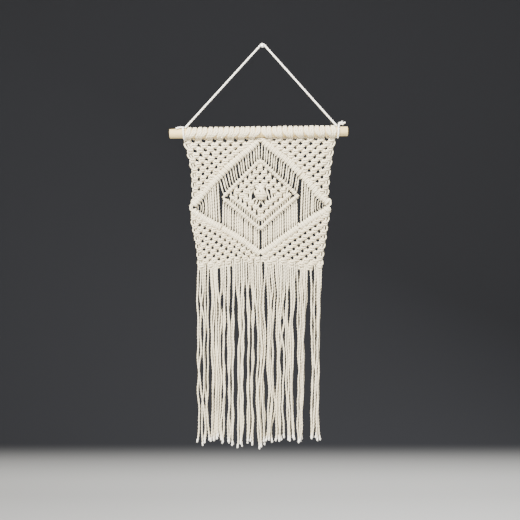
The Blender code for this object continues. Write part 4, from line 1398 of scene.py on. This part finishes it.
class HANGING_OT_stage(bpy.types.Operator):
    """Lay the pale floor with its curved back, and set up the camera and the soft lights"""

    bl_idname = "hanging.stage"
    bl_label = "Stage"
    bl_options = {"REGISTER", "UNDO"}

    def execute(self, context):
        lay_floor(context)
        bpy.ops.object.camera_add(location=VIEW_MIDDLE + Vector((0.0, -CAMERA_DISTANCE, 0.0)),
                                  rotation=(math.radians(90), 0, 0))
        camera = context.object
        camera.data.sensor_width, camera.data.lens, camera.data.clip_end = SENSOR_WIDTH, LENS, VIEW_END
        bpy.context.scene.camera = camera
        for name, spot, size, power, colour in LAMPS:
            spot = Vector(spot)
            aim = (VIEW_MIDDLE - spot).to_track_quat("-Z", "Y").to_euler()
            bpy.ops.object.light_add(type="AREA", radius=size, location=spot, rotation=aim)
            lamp = context.object
            lamp.name = lamp.data.name = f"{name}_light"
            lamp.data.size, lamp.data.energy, lamp.data.color = size, power, colour
            lamp.visible_camera = False
        world = bpy.data.worlds.new("soft_room")
        world.use_nodes = True
        background = world.node_tree.nodes["Background"]
        background.inputs["Color"].default_value = ROOM_COLOUR
        background.inputs["Strength"].default_value = ROOM_STRENGTH
        context.scene.world = world
        return {"FINISHED"}


class HANGING_PT_pieces(bpy.types.Panel):
    """The pieces of the wall hanging, in the order in which they are made"""

    bl_idname = "HANGING_PT_pieces"
    bl_label = "Macrame Wall Hanging"
    bl_space_type = "VIEW_3D"
    bl_region_type = "UI"
    bl_category = "Macrame"

    def draw(self, context):
        for group in (settings().cords, settings().fringe, settings().colours):
            box = self.layout.box()
            for name in group.__annotations__:
                box.prop(group, name)
        for operator in PIECES:
            self.layout.operator(operator.bl_idname)


PIECES = (HANGING_OT_stage, HANGING_OT_hanging_cord, HANGING_OT_dowel, HANGING_OT_wall_pin, HANGING_OT_heading,
          HANGING_OT_nets, HANGING_OT_bands, HANGING_OT_small_diamond, HANGING_OT_free_cords, HANGING_OT_fringe)
CLASSES = (CordSizes, FringeSizes, Colours, HangingSettings, *PIECES, HANGING_PT_pieces)


def register():
    for made in CLASSES:
        bpy.utils.register_class(made)
    bpy.types.Scene.wall_hanging = PointerProperty(type=HangingSettings)


def unregister():
    del bpy.types.Scene.wall_hanging
    for made in reversed(CLASSES):
        bpy.utils.unregister_class(made)


def main():
    register()
    for operator in PIECES:
        group, name = operator.bl_idname.split(".")
        getattr(getattr(bpy.ops, group), name)()


if __name__ == "__main__":
    main()
